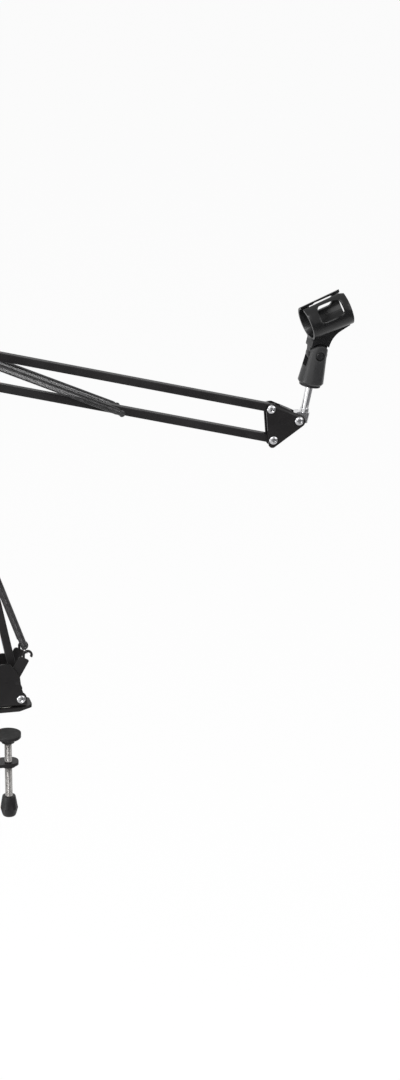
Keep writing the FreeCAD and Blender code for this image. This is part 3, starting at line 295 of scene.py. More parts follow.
@dataclass(frozen=True)
class WornFinish(Finish):
    """A coated finish that is rubbed paler along its edges."""

    worn: Colour = (0.1, 0.1, 0.1)
    wear: float = 0.45
    edge_reach: float = 0.5
    wear_scale: float = 260.0
    wear_span: Span = (0.36, 0.62)

    def paint(self, bench: NodeBench, colour: Socket, place: Socket) -> None:
        """Lay the clouded colour, rubbed along the edges.

        Args:
            bench: bench of the material.
            colour: socket with the clouded colour.
            place: coordinates of the surface.
        """
        rubbed = bench.remap(bench.noise(place, self.wear_scale), self.wear_span, (0.0, self.wear))
        share = bench.edges(self.edge_reach * MM, rubbed)
        bench.link(bench.mix(share, colour, self.worn), bench.shader.inputs["Base Color"])


SATIN_PAINT = WornFinish(
    "satin_black_paint", Slot.PAINT, (0.011, 0.0103, 0.0107), (0.0155, 0.0147, 0.0151), 0.38,
    specular=0.13, cloud_scale=35.0, grain_scale=900.0, grain_depth=0.03,
    worn=(0.05, 0.048, 0.049),
)
GLOSS_PAINT = WornFinish(
    "stoved_black_paint", Slot.PAINT, (0.01, 0.0094, 0.0097), (0.0135, 0.0127, 0.013), 0.31,
    specular=0.14, cloud_scale=28.0, grain_scale=700.0, grain_depth=0.03,
    worn=(0.055, 0.053, 0.053),
)
CLIP_PLASTIC = WornFinish(
    "moulded_black_plastic", Slot.PLASTIC, (0.0055, 0.0055, 0.0058), (0.008, 0.008, 0.0083), 0.26,
    specular=0.26, cloud_scale=45.0, grain_scale=2200.0, grain_depth=0.03,
    worn=(0.05, 0.05, 0.052), edge_reach=0.4,
)
FOOT_PLASTIC = WornFinish(
    "moulded_charcoal_plastic", Slot.PLASTIC, (0.018, 0.018, 0.0187), (0.023, 0.023, 0.0237), 0.33,
    specular=0.34, cloud_scale=45.0, grain_scale=2200.0, grain_depth=0.03,
    worn=(0.07, 0.07, 0.072), edge_reach=0.4,
)
KNOB_PLASTIC = WornFinish(
    "knob_black_plastic", Slot.PLASTIC, (0.009, 0.0086, 0.009), (0.013, 0.0126, 0.013), 0.38,
    specular=0.18, cloud_scale=70.0, grain_scale=2600.0, grain_depth=0.04,
    worn=(0.05, 0.05, 0.05), edge_reach=0.4,
)
ZINC_PLATE = WornFinish(
    "bright_zinc_plate", Slot.ZINC, (0.52, 0.52, 0.53), (0.4, 0.4, 0.41), 0.24,
    uneven=0.08, metallic=1.0, cloud_scale=240.0, grain_scale=3000.0, grain_depth=0.008,
    worn=(0.68, 0.68, 0.68), wear=0.5, edge_reach=0.2,
)
DULL_ZINC = WornFinish(
    "dull_zinc_plate", Slot.ZINC, (0.12, 0.118, 0.12), (0.08, 0.079, 0.08), 0.38,
    uneven=0.1, metallic=1.0, cloud_scale=220.0, grain_scale=2800.0, grain_depth=0.012,
    worn=(0.3, 0.3, 0.3), wear=0.5, edge_reach=0.2,
)
SCREW_ZINC = WornFinish(
    "galvanised_screw", Slot.ZINC, (0.42, 0.41, 0.4), (0.3, 0.29, 0.28), 0.34,
    uneven=0.1, metallic=1.0, cloud_scale=160.0, grain_scale=2500.0, grain_depth=0.015,
    worn=(0.62, 0.61, 0.6), wear=0.5, edge_reach=0.2,
)
DRAWN_WIRE = Finish(
    "drawn_spring_wire", Slot.SPRING, (0.085, 0.083, 0.085), (0.055, 0.054, 0.055), 0.36,
    uneven=0.08, metallic=1.0, cloud_scale=120.0, grain_scale=4000.0, grain_depth=0.01,
)
CLIP_STEEL = Finish(
    "blued_ring_steel", Slot.SPRING, (0.16, 0.158, 0.162), (0.1, 0.099, 0.102), 0.34,
    uneven=0.08, metallic=1.0, cloud_scale=150.0, grain_scale=3600.0, grain_depth=0.01,
)
POLISHED_CHROME = Finish(
    "polished_chrome", Slot.CHROME, (0.72, 0.72, 0.73), (0.62, 0.62, 0.63), 0.13,
    uneven=0.05, metallic=1.0, cloud_scale=140.0, grain_scale=1800.0, grain_depth=0.004,
)
SOFT_RUBBER = Finish(
    "soft_black_rubber", Slot.RUBBER, (0.016, 0.016, 0.016), (0.026, 0.026, 0.026), 0.75,
    specular=0.2, cloud_scale=90.0, grain_scale=1400.0, grain_depth=0.08,
)
MILKY_NYLON = Finish(
    "milky_nylon", Slot.NYLON, (0.66, 0.65, 0.61), (0.56, 0.55, 0.51), 0.45,
    cloud_scale=120.0, grain_scale=1800.0,
)
BLACK_OXIDE = WornFinish(
    "black_oxide_steel", Slot.INSERT, (0.012, 0.012, 0.013), (0.019, 0.019, 0.02), 0.36,
    metallic=0.3, specular=0.2, cloud_scale=110.0, grain_scale=2000.0,
    worn=(0.12, 0.12, 0.125), edge_reach=0.3,
)


# Meshes

def placed(name: str, data: bpy.types.ID) -> bpy.types.Object:
    """New object in the scene.

    Args:
        name: name of the object.
        data: its mesh, light or camera.

    Returns:
        The object.
    """
    thing = bpy.data.objects.new(name, data)
    bpy.context.scene.collection.objects.link(thing)
    return thing


class Solid:
    """Points and faces of one mesh, gathered from turned, lofted and swept shapes."""

    def __init__(self) -> None:
        """Start with no points and no faces."""
        self.points: list[Vector] = []
        self.faces: list[tuple[int, ...]] = []

    def loft(self, rings: Sequence[Sequence[Vector]], joined: bool = False) -> "Solid":
        """Skin a row of rings that have the same number of points.

        Args:
            rings: closed loops of points, in order along the shape.
            joined: whether the last ring joins the first, instead of a cap on each.

        Returns:
            This solid.
        """
        first = len(self.points)
        count = len(rings[0])
        for ring in rings:
            self.points.extend(ring)
        steps = len(rings) if joined else len(rings) - 1
        for step in range(steps):
            here = first + step * count
            there = first + (step + 1) % len(rings) * count
            for index in range(count):
                after = (index + 1) % count
                self.faces.append((here + index, here + after, there + after, there + index))
        if not joined:
            last = first + (len(rings) - 1) * count
            self.faces.append(tuple(reversed(range(first, first + count))))
            self.faces.append(tuple(range(last, last + count)))
        return self

    def turn(self, profile: Profile, segments: int = 48, wave: Optional[Wave] = None,
             joined: bool = False) -> "Solid":
        """Turn a profile about the z axis.

        Args:
            profile: (radius, height) pairs in millimetres.
            segments: points round the axis.
            wave: radius from (angle, radius, height), for a shape that isn't round.
            joined: whether the profile closes on itself, as a ring's does.

        Returns:
            This solid.
        """
        rings = []
        for radius, height in profile:
            ring = []
            for index in range(segments):
                angle = 2 * math.pi * index / segments
                out = wave(angle, radius, height) if wave else radius
                ring.append(Vector((out * math.cos(angle), out * math.sin(angle), height)) * MM)
            rings.append(ring)
        return self.loft(rings, joined)

    def sweep(self, path: Sequence[Vector], radius: float, sides: int) -> "Solid":
        """Round wire along a path, its sides carried along without a twist.

        Args:
            path: points along the middle of the wire.
            radius: radius of the wire.
            sides: points round the wire.

        Returns:
            This solid.
        """
        rings = []
        across = Vector((0.0, 0.0, 0.0))
        for index, point in enumerate(path):
            before = path[max(index - 1, 0)]
            after = path[min(index + 1, len(path) - 1)]
            run = (after - before).normalized()
            if index == 0:
                across = run.orthogonal()
            across = (across - run * across.dot(run)).normalized()
            other = run.cross(across)
            ring = []
            for side in range(sides):
                angle = 2 * math.pi * side / sides
                ring.append(point + (across * math.cos(angle) + other * math.sin(angle)) * radius)
            rings.append(ring)
        return self.loft(rings)

    def add(self, other: "Solid", place: Matrix) -> "Solid":
        """Add a placed copy of another solid.

        Args:
            other: solid to copy.
            place: where its origin and axes go.

        Returns:
            This solid.
        """
        first = len(self.points)
        self.points.extend(place @ point for point in other.points)
        self.faces.extend(tuple(first + index for index in face) for face in other.faces)
        return self

    def mesh(self, name: str, crease: float = SOFT_CREASE) -> bpy.types.Mesh:
        """Blender mesh of this solid, smooth up to a crease angle.

        Args:
            name: name of the mesh.
            crease: degrees between faces above which an edge stays sharp.

        Returns:
            The new mesh.
        """
        mesh = bpy.data.meshes.new(name)
        mesh.from_pydata([tuple(point) for point in self.points], [], self.faces)
        mesh.validate()
        mesh.shade_smooth()
        mesh.set_sharp_from_angle(angle=math.radians(crease))
        return mesh

    def cut(self, *tools: "Solid") -> "Solid":
        """This solid with other solids taken away.

        Args:
            tools: closed solids to take away, one after the other.

        Returns:
            A new solid.
        """
        work = placed("cut_work", self.mesh("cut_work"))
        cutters = []
        for tool in tools:
            cutter = placed("cut_tool", tool.mesh("cut_tool"))
            modifier = work.modifiers.new("cut", "BOOLEAN")
            modifier.object = cutter
            modifier.operation = "DIFFERENCE"
            modifier.solver = "EXACT"
            cutters.append(cutter)
        bpy.context.view_layer.update()
        result = work.evaluated_get(bpy.context.evaluated_depsgraph_get()).to_mesh()
        solid = Solid()
        solid.points = [vertex.co.copy() for vertex in result.vertices]
        solid.faces = [tuple(polygon.vertices) for polygon in result.polygons]
        for item in (work, *cutters):
            bpy.data.objects.remove(item)
        return solid


def laid_across(point: Vector, depth: float) -> Matrix:
    """Placement at a pivot, with zero height at a depth along y and z to the rear."""
    return Matrix.Translation((point.x, depth, point.z)) @ Matrix.Rotation(math.radians(-90), 4, "X")


def hexagonal(flats: float) -> Wave:
    """Wave that keeps a turned shape inside a hexagon.

    Args:
        flats: millimetres across the flats.

    Returns:
        The wave.
    """
    def wave(angle: float, radius: float, height: float) -> float:
        """Radius kept inside the hexagon."""
        off_flat = angle % (math.pi / 3) - math.pi / 6
        return min(radius, flats / 2 / math.cos(off_flat))
    return wave


# Frame and workshop

@dataclass
class Layout:
    """Pivots and pins of the arm, read from the frame."""

    frame: dict
    hook_outer: float = 5.4 * MM
    joints: dict[str, Vector] = field(init=False)

    def __post_init__(self) -> None:
        """Collect the joints' places."""
        self.joints = {
            joint["name"]: Vector(joint["pos_m"]) for joint in self.frame["joints"] if "pos_m" in joint
        }

    def base(self) -> list[Vector]:
        """Pivots of the base: left, right."""
        return [self.joints["lower_left_pivot"], self.joints["shoulder"]]

    def elbow(self) -> list[Vector]:
        """Bolted pivots of the elbow.

        Returns:
            The left, right and low pivot.
        """
        left, right = self.base()
        inner = self.joints["elbow_level"]
        return [inner + left - right, inner, self.joints["elbow"]]

    def head(self) -> list[Vector]:
        """Bolted pivots of the head.

        Returns:
            The low pivot, the high one and the tip.
        """
        low = self.joints["head_level"]
        high = low + self.joints["upper_top_pivot"] - self.joints["elbow"]
        return [low, high, self.joints["post_tilt"]]

    def middle(self, node: str) -> Vector:
        """Middle of a node's box, set in the arm's plane."""
        low, high = (Vector(corner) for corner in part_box(node))
        return Vector((low.x + high.x, 0.0, low.z + high.z)) / 2

    def eye(self) -> Vector:
        """Middle of the hook's eye on a spring anchor."""
        high = Vector(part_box("spring_anchor_front")[1])
        return Vector((high.x - self.hook_outer, 0.0, high.z - self.hook_outer))


@dataclass(frozen=True)
class Coat:
    """Finish of some CAD nodes, and the millimetres rounded off their edges."""

    finish: Finish
    nodes: tuple[str, ...]
    rounding: float = 0.0


@dataclass
class Workshop:
    """Sets finished pieces on their bodies and dresses the frame's CAD nodes."""

    frame: dict
    weld_reach: float = 0.001 * MM
    edge_steps: int = 2
    edge_from: float = math.radians(35)

    def piece(self, name: str, solid: Solid, finish: Finish, stands_for: Sequence[str] = (),
              crease: float = SOFT_CREASE, body: Optional[str] = None) -> bpy.types.Object:
        """Make an object of a solid, dress it and set it on its body.

        Args:
            name: name of the piece.
            solid: its mesh.
            finish: its finish.
            stands_for: CAD nodes that it takes the place of.
            crease: degrees above which an edge stays sharp.
            body: body that carries it; None leaves it unattached.

        Returns:
            The object.
        """
        thing = placed(name, solid.mesh(name, crease))
        thing.data.materials.append(finish.material())
        if stands_for:
            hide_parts(*stands_for)
        if body:
            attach(thing, body)
        LOG.info("piece %s: %d faces", name, len(thing.data.polygons))
        return thing

    def dress(self, coat: Coat) -> None:
        """Give CAD nodes a finish and softly rounded edges.

        Args:
            coat: the nodes with their finish and rounding.
        """
        for node in coat.nodes:
            thing = self.frame["nodes"][node]
            thing.data.materials.clear()
            thing.data.materials.append(coat.finish.material())
            LOG.info("node %s: %s", node, coat.finish.name)
            if coat.rounding == 0:
                continue
            weld = thing.modifiers.new("weld", "WELD")
            weld.merge_threshold = self.weld_reach
            bevel = thing.modifiers.new("soft_edges", "BEVEL")
            bevel.width = coat.rounding * MM
            bevel.segments = self.edge_steps
            bevel.limit_method = "ANGLE"
            bevel.angle_limit = self.edge_from
            bevel.harden_normals = True


# Fasteners

@dataclass
class PanBolt:
    """Domed bolt with a crossed recess; its shank starts at height zero."""

    shank: float = 2.0
    head: float = 4.75
    rise: float = 2.6
    rim: float = 0.3
    rim_chamfer: float = 0.12
    dome_from: float = 6.0
    dome_power: float = 0.85
    dome_steps: int = 8
    end_chamfer: float = 0.4
    recess_reach: float = 2.6
    recess_half: float = 0.55
    recess_depth: float = 1.5
    recess_waist: float = 0.35
    mouth_above: float = 0.5
    mouth_longer: float = 0.3
    mouth_wider: float = 0.06
    foot_reach: float = 0.55
    foot_half: float = 0.7

    def build(self, length: float) -> Solid:
        """Bolt of a shank length.

        Args:
            length: millimetres from under the head to the end.

        Returns:
            The bolt, with its head below height zero.
        """
        dome = []
        for step in range(self.dome_steps + 1):
            angle = math.radians(self.dome_from + (90 - self.dome_from) * step / self.dome_steps)
            out = self.head * math.sin(angle) ** self.dome_power
            dome.append((out, -self.rim - (self.rise - self.rim) * math.cos(angle)))
        body = Solid().turn([
            *dome,
            (self.head, -self.rim_chamfer),
            (self.head - self.rim_chamfer, 0.0),
            (self.shank, 0.0),
            (self.shank, length - self.end_chamfer),
            (self.shank - self.end_chamfer, length),
        ])
        return body.cut(self.wing(0.0), self.wing(90.0))

    def wing(self, turn: float) -> Solid:
        """One tapered slot of the recess, to take away.

        Args:
            turn: degrees about the bolt's axis.

        Returns:
            The slot's shape.
        """
        rings = []
        long, wide, top = self.recess_reach, self.recess_half, -self.rise
        for height, reach, half in (
            (top - self.mouth_above, long + self.mouth_longer, wide + self.mouth_wider),
            (top + self.recess_waist * self.recess_depth, long, wide),
            (top + self.recess_depth, self.foot_reach * long, self.foot_half * wide),
        ):
            corners = [(-reach, -half), (reach, -half), (reach, half), (-reach, half)]
            rings.append([Vector((x, y, height)) * MM for x, y in corners])
        spin = Matrix.Rotation(math.radians(turn), 4, "Z")
        return Solid().add(Solid().loft(rings), spin)


@dataclass
class LockNut:
    """Hexagon nut with a round collar that holds a nylon ring."""

    flats: float = 7.0
    hex_height: float = 3.4
    height: float = 5.0
    collar: float = 3.2
    bore: float = 2.0
    ring_height: float = 1.1
    ring_play: float = 0.02
    ring_sunk: float = 0.15
    ring_chamfer: float = 0.1
    foot_chamfer: float = 0.4
    top_chamfer: float = 0.45
    top_inset: float = 0.1
    small_step: float = 0.05
    collar_wall: float = 0.7
    collar_round: float = 0.45
    round_middle: Span = (0.14, 0.13)
    segments: int = 72

    def build(self) -> Solid:
        """Metal of the nut, standing on height zero.

        Returns:
            The nut.
        """
        corner = self.flats / math.sqrt(3)
        inner = self.collar - self.collar_wall
        seat = self.height - self.ring_height
        inward, downward = self.round_middle
        return Solid().turn([
            (self.bore, 0.0),
            (self.flats / 2 - self.small_step, 0.0),
            (corner, self.foot_chamfer),
            (corner, self.hex_height - self.top_chamfer),
            (self.flats / 2 - self.top_inset, self.hex_height),
            (self.collar, self.hex_height + self.small_step),
            (self.collar, self.height - self.collar_round),
            (self.collar - inward, self.height - downward),
            (self.collar - self.collar_round, self.height),
            (inner, self.height),
            (inner, seat),
            (self.bore, seat),
        ], self.segments, hexagonal(self.flats), joined=True)

    def ring(self) -> Solid:
        """Nylon ring in the nut's collar.

        Returns:
            The ring.
        """
        low = self.height - self.ring_height
        top = self.height - self.ring_sunk
        inner = self.bore + self.ring_play
        outer = self.collar - self.collar_wall - self.ring_play
        return Solid().turn([
            (inner, low),
            (outer, low),
            (outer, top - self.ring_chamfer),
            (outer - self.ring_chamfer, top),
            (inner + self.ring_chamfer, top),
            (inner, top - self.ring_chamfer),
        ], joined=True)


@dataclass
class Washer:
    """Flat washer with softly rounded rims."""

    radius: float = 4.5
    bore: float = 2.0
    thickness: float = 0.8
    rim: float = 0.2

    def build(self) -> Solid:
        """Washer that lies on height zero.

        Returns:
            The washer.
        """
        return Solid().turn([
            (self.bore, 0.0),
            (self.radius - self.rim, 0.0),
            (self.radius, self.rim),
            (self.radius, self.thickness - self.rim),
            (self.radius - self.rim, self.thickness),
            (self.bore, self.thickness),
        ], joined=True)


@dataclass
class BoltSet:
    """Bolts, washers and lock nuts through one pair of plates."""

    name: str
    body: str
    points: list[Vector]
    outer: float
    bolt: PanBolt = field(default_factory=PanBolt)
    washer: Washer = field(default_factory=Washer)
    nut: LockNut = field(default_factory=LockNut)
    past_nut: float = 0.3
    first_turn: float = 23.0
    next_turn: float = 41.0

    def build(self, shop: Workshop) -> None:
        """Set every fastener at its pivot.

        Args:
            shop: workshop that takes the pieces.
        """
        length = 2 * self.outer + self.washer.thickness + self.nut.height + self.past_nut
        seat = self.outer * MM
        nut_seat = seat + self.washer.thickness * MM
        for kind, solid, depth in (
            ("bolts", self.bolt.build(length), -seat),
            ("washers", self.washer.build(), seat),
            ("nuts", self.nut.build(), nut_seat),
        ):
            group = Solid()
            for index, point in enumerate(self.points):
                turn = math.radians(self.first_turn + self.next_turn * index)
                group.add(solid, laid_across(point, depth) @ Matrix.Rotation(turn, 4, "Z"))
            node = f"{self.name}_{kind}"
            shop.piece(f"{node}_finished", group, ZINC_PLATE, [node], body=self.body)
        rings = Solid()
        for point in self.points:
            rings.add(self.nut.ring(), laid_across(point, nut_seat))
        shop.piece(f"{self.name}_nut_rings", rings, MILKY_NYLON, body=self.body)


# Springs

@dataclass
class CoilSpring:
    """Close-wound extension spring with a hook loop at each end."""

    name: str
    start: Vector
    end: Vector
    start_side: Vector
    end_side: Vector
    start_radius: float
    end_radius: float
    bodies: tuple[str, str]
    shares: Sequence[Span]
    wire: float = 0.5 * MM
    coil: float = 3.2 * MM
    pitch: float = 1.22 * MM
    neck: float = 3.0 * MM
    lead: float = 2.4 * MM
    loop_from: float = math.radians(12)
    loop_to: float = math.radians(270)
    loop_steps: int = 24
    neck_steps: int = 4
    steps_per_turn: int = 18
    wire_sides: int = 8
    crease: float = 50.0

    def hook(self, eye: Vector, run: Vector, side: Vector, radius: float) -> list[Vector]:
        """Loop round an eye, its neck and the run-in to the coil.

        Args:
            eye: middle of the loop.
            run: direction from the eye to the coil.
            side: direction across the loop.
            radius: radius of the loop.

        Returns:
            Points from the wire's end to the coil.
        """
        points = []
        for step in range(self.loop_steps + 1):
            angle = self.loop_from + (self.loop_to - self.loop_from) * step / self.loop_steps
            points.append(eye + (run * math.cos(angle) + side * math.sin(angle)) * radius)
        for step in range(1, self.neck_steps + 1):
            points.append(eye - side * radius + run * (self.neck * step / self.neck_steps))
        return points

    def path(self) -> list[Vector]:
        """Middle line of the whole wire.

        Returns:
            Points from one hook's end to the other's.
        """
        run = (self.end - self.start).normalized()
        near = self.hook(self.start, run, self.start_side, self.start_radius)
        far = self.hook(self.end, -run, self.end_side, self.end_radius)
        first_axis = -self.start_side
        second_axis = run.cross(first_axis)
        length = (self.end - self.start).length - 2 * (self.neck + self.lead)
        last = math.atan2(-self.end_side.dot(second_axis), -self.end_side.dot(first_axis))
        turns = round(length / self.pitch)
        sweep = last + 2 * math.pi * turns
        count = self.steps_per_turn * turns
        total = length + 2 * self.lead
        coil = []
        for step in range(1, count):
            share = step / count
            along = total * share
            radius = self.coil
            for loop, gap in ((self.start_radius, along), (self.end_radius, total - along)):
                radius += (loop - self.coil) * (1 - self.smooth(min(gap / self.lead, 1.0)))
            angle = sweep * share
            out = first_axis * math.cos(angle) + second_axis * math.sin(angle)
            coil.append(self.start + run * (self.neck + along) + out * radius)
        return near + coil + list(reversed(far))

    def reach(self, index: int) -> Span:
        """Ends of the smooth step whose middle piece gives a stretch its shares.

        Args:
            index: number of the stretch.

        Returns:
            Where along the spring the step starts and ends.
        """
        begin, begin_share = self.shares[index]
        end, end_share = self.shares[index + 1]
        first = self.step_at(begin_share)
        scale = (end - begin) / (self.step_at(end_share) - first)
        low = begin - first * scale
        return low, low + scale

    @staticmethod
    def step_at(share: float) -> float:
        """Place in a smooth step of length 1 where it has risen to a share."""
        return 0.5 - math.sin(math.asin(1 - 2 * share) / 3)

    @staticmethod
    def smooth(value: float) -> float:
        """Smooth step from 0 to 1."""
        return value * value * (3 - 2 * value)

    def build(self, shop: Workshop) -> None:
        """Wind the spring, parted into stretches at the shares' places.

        Args:
            shop: workshop that takes the pieces.
        """
        path = self.path()
        run = self.end - self.start
        places = [(point - self.start).dot(run) / run.length_squared for point in path]
        cuts = [0]
        for along, _ in self.shares[1:-1]:
            cuts.append(next(index for index, place in enumerate(places) if place >= along))
        cuts.append(len(path) - 1)
        for index in range(len(cuts) - 1):
            stretch = path[cuts[index]:cuts[index + 1] + 1]
            wire = Solid().sweep(stretch, self.wire, self.wire_sides)
            stands_for = [self.name] if index == 0 else []
            thing = shop.piece(f"{self.name}_wire_{index + 1}", wire, DRAWN_WIRE, stands_for, self.crease)
            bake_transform(thing)


# Sub-assemblies

@dataclass
class Assembly:
    """Part of the arm, built on its pivots and pins, with coats for its CAD nodes."""

    layout: Layout
    coats: Sequence[Coat] = ()

    def build(self, shop: Workshop) -> None:
        """Make the pieces that are modelled here, if there are any."""

    def dress(self, shop: Workshop) -> None:
        """Finish the pieces that keep their CAD form."""
        for coat in self.coats:
            shop.dress(coat)


@dataclass
class BalanceSprings(Assembly):
    """The two lower and the two upper springs."""

    lower_depth: float = 13.0 * MM
    upper_depth: float = 11.4 * MM
    pin_loop: float = 2.8 * MM
    hook_inner: float = 3.0 * MM
    hook_loop: float = 2.362 * MM
    hook_seat: float = 1.523 * MM
    pin_slack: float = 0.25 * MM
    lower_shares: Sequence[Span] = ((0.0, 0.0), (0.1, 0.36), (0.25, 0.62), (0.5, 0.82), (1.0, 1.0))
    upper_shares: Sequence[Span] = ((0.0, 0.0), (0.12, 0.3), (0.25, 0.8), (0.4, 0.95), (1.0, 1.0))

    def build(self, shop: Workshop) -> None:
        """Wind the four springs.

        Args:
            shop: workshop that takes the pieces.
        """
        for side in Side:
            self.lower(side).build(shop)
            self.upper(side).build(shop)

    def lower(self, side: Side) -> CoilSpring:
        """Spring from an anchor's hook to the pin on the lower bar.

        Args:
            side: front or rear.

        Returns:
            The spring.
        """
        depth = ACROSS * (side.value * self.lower_depth)
        eye = self.layout.eye()
        pin = self.layout.middle("lower_spring_pin")
        run = (pin - eye).normalized()
        start = eye + run * (self.hook_inner + self.hook_seat) + depth
        return CoilSpring(
            f"lower_spring_{side.name.lower()}", start, pin + depth, ACROSS * side.value, run.cross(ACROSS),
            self.hook_loop, self.pin_loop, ("base", "lower_right"), self.lower_shares,
        )

    def upper(self, side: Side) -> CoilSpring:
        """Spring from the elbow's long pin to the pin on the upper bar.

        Args:
            side: front or rear.

        Returns:
            The spring.
        """
        depth = ACROSS * (side.value * self.upper_depth)
        start = self.layout.joints["upper_top_pivot"]
        pin = self.layout.middle("upper_spring_pin")
        run = (pin - start).normalized()
        across = run.cross(ACROSS)
        return CoilSpring(
            f"upper_spring_{side.name.lower()}", start + run * self.pin_slack + depth, pin + depth,
            across, across, self.pin_loop, self.pin_loop, ("elbow", "upper_bottom"), self.upper_shares,
        )


@dataclass
class ScrewClamp(Assembly):
    """Bent clamp with its threaded screw, knob and pad.

    The knob's rims and belly are (outward, upward) steps from a radius and a height.
    """

    screw_radius: float = 4.0
    screw_top: float = -33.4
    screw_bottom: float = -116.0
    thread_pitch: float = 1.25
    thread_depth: float = 0.65
    thread_flank: float = 1.3
    thread_crest: float = 0.15
    tip_length: float = 0.8
    tip_slope: float = 0.9
    rings_per_turn: int = 8
    screw_segments: int = 32
    screw_crease: float = 40.0
    knob_top: float = -102.0
    knob_bottom: float = -125.0
    knob_mouth: float = 7.0
    knob_widest: float = 9.4
    knob_foot: float = 6.8
    mouth_rim: Profile = ((-0.8, 0.0), (-0.2, -0.15), (0.1, -0.7), (1.1, -6.0))
    belly: Profile = ((-0.3, -12.6), (-0.05, -13.6), (0.0, -14.4), (-0.25, -15.2))
    foot_rim: Profile = ((1.1, 3.2), (0.2, 0.7), (-0.3, 0.15), (-0.9, 0.0))
    foot_hollow: Profile = ((1.2, 0.6), (1.0, 5.9))
    hollow_depth: float = 6.0
    knob_segments: int = 144
    knob_crease: float = 30.0
    flutes: int = 6
    flute_radius: float = 6.5
    flute_out: float = 14.8
    flute_blend: float = 0.35
    coats: Sequence[Coat] = (
        Coat(GLOSS_PAINT, ("clamp_frame", "clamp_boss"), rounding=0.45),
        Coat(SOFT_RUBBER, ("jaw_liner", "pad_liner"), rounding=0.2),
        Coat(KNOB_PLASTIC, ("pressure_pad",), rounding=0.3),
        Coat(ZINC_PLATE, ("swivel_stud", "swivel_washer", "swivel_nut"), rounding=0.15),
        Coat(MILKY_NYLON, ("swivel_disc",)),
    )

    def build(self, shop: Workshop) -> None:
        """Cut the screw and mould the knob.

        Args:
            shop: workshop that takes the pieces.
        """
        line = Matrix.Translation((self.layout.joints["screw_turn"].x, 0.0, 0.0))
        screw = Solid().add(self.screw(), line)
        knob = Solid().add(self.knob(), line)
        shop.piece("clamp_screw_threaded", screw, SCREW_ZINC, ["clamp_screw"], self.screw_crease, "screw")
        shop.piece("clamp_knob_fluted", knob, KNOB_PLASTIC, ["clamp_knob"], self.knob_crease, "screw")

    def screw(self) -> Solid:
        """Threaded screw about the z axis.

        Returns:
            The screw.
        """
        length = self.screw_top - self.screw_bottom
        rings = round(length / self.thread_pitch * self.rings_per_turn)
        heights = [self.screw_bottom + length * step / rings for step in range(rings + 1)]
        profile = [(self.screw_radius, height) for height in heights]
        return Solid().turn(profile, self.screw_segments, self.thread)

    def thread(self, angle: float, radius: float, height: float) -> float:
        """Radius of the thread at an angle and height.

        Args:
            angle: radians about the screw's axis.
            radius: outer radius.
            height: height along the screw.

        Returns:
            The radius there.
        """
        phase = (height / self.thread_pitch - angle / (2 * math.pi)) % 1.0
        ridge = abs(2 * phase - 1)
        taper = max(0.0, height - (self.screw_top - self.tip_length))
        groove = min(max(self.thread_flank * ridge - self.thread_crest, 0.0), 1.0)
        return radius - self.thread_depth * groove - self.tip_slope * taper

    def knob(self) -> Solid:
        """Fluted knob about the z axis, bored for the screw.

        Returns:
            The knob.
        """
        outline = [(self.screw_radius, self.knob_top)]
        for radius, height, steps in (
            (self.knob_mouth, self.knob_top, self.mouth_rim),
            (self.knob_widest, self.knob_top, self.belly),
            (self.knob_foot, self.knob_bottom, self.foot_rim),
            (0.0, self.knob_bottom, self.foot_hollow),
        ):
            outline.extend((radius + out, height + rise) for out, rise in steps)
        outline.append((self.screw_radius, self.knob_bottom + self.hollow_depth))
        return Solid().turn(outline, self.knob_segments, self.flute, joined=True)

    def flute(self, angle: float, radius: float, height: float) -> float:
        """Radius of the knob where flutes cut into it.

        Args:
            angle: radians about the knob's axis.
            radius: radius of the plain knob.
            height: height along the knob.

        Returns:
            The radius there.
        """
        pitch = 2 * math.pi / self.flutes
        off = (angle % pitch) - pitch / 2
        sideways = self.flute_out * math.sin(off)
        if abs(sideways) >= self.flute_radius:
            return radius
        hollow = self.flute_out * math.cos(off) - math.sqrt(self.flute_radius ** 2 - sideways ** 2)
        blend = self.flute_blend
        gap = min(max(0.5 + 0.5 * (hollow - radius) / blend, 0.0), 1.0)
        return hollow + (radius - hollow) * gap - blend * gap * (1 - gap)


@dataclass
class SwivelBase(Assembly):
    """Folded base bracket with its spring anchors."""

    cheek_outer: float = 16.0
    coats: Sequence[Coat] = (
        Coat(GLOSS_PAINT, ("base_bracket",), rounding=0.35),
        Coat(SATIN_PAINT, ("spring_anchor_front", "spring_anchor_rear"), rounding=0.35),
        Coat(SATIN_PAINT, ("anchor_rivets",)),
        Coat(MILKY_NYLON, ("base_spacers",), rounding=0.15),
    )

    def build(self, shop: Workshop) -> None:
        """Set the base's bolts."""
        BoltSet("base_pivot", "base", self.layout.base(), self.cheek_outer).build(shop)


@dataclass
class ScissorArms(Assembly):
    """The four bars, the elbow between them and the pins for the springs."""

    plate_outer: float = 7.0
    coats: Sequence[Coat] = (
        Coat(SATIN_PAINT, tuple(f"{bar}_bar" for bar in BARS)),
        Coat(KNOB_PLASTIC, tuple(f"{bar}_plugs" for bar in BARS), rounding=0.25),
        Coat(MILKY_NYLON, tuple(f"{bar}_sleeves" for bar in BARS)),
        Coat(GLOSS_PAINT, ("elbow_plate_front", "elbow_plate_rear"), rounding=0.35),
        Coat(DULL_ZINC, tuple(f"{pin}_spring_pin" for pin in PINS), rounding=0.15),
        Coat(CLIP_STEEL, tuple(f"{pin}_pin_clip" for pin in PINS), rounding=0.12),
    )

    def build(self, shop: Workshop) -> None:
        """Set the elbow's bolts."""
        BoltSet("elbow", "elbow", self.layout.elbow(), self.plate_outer).build(shop)


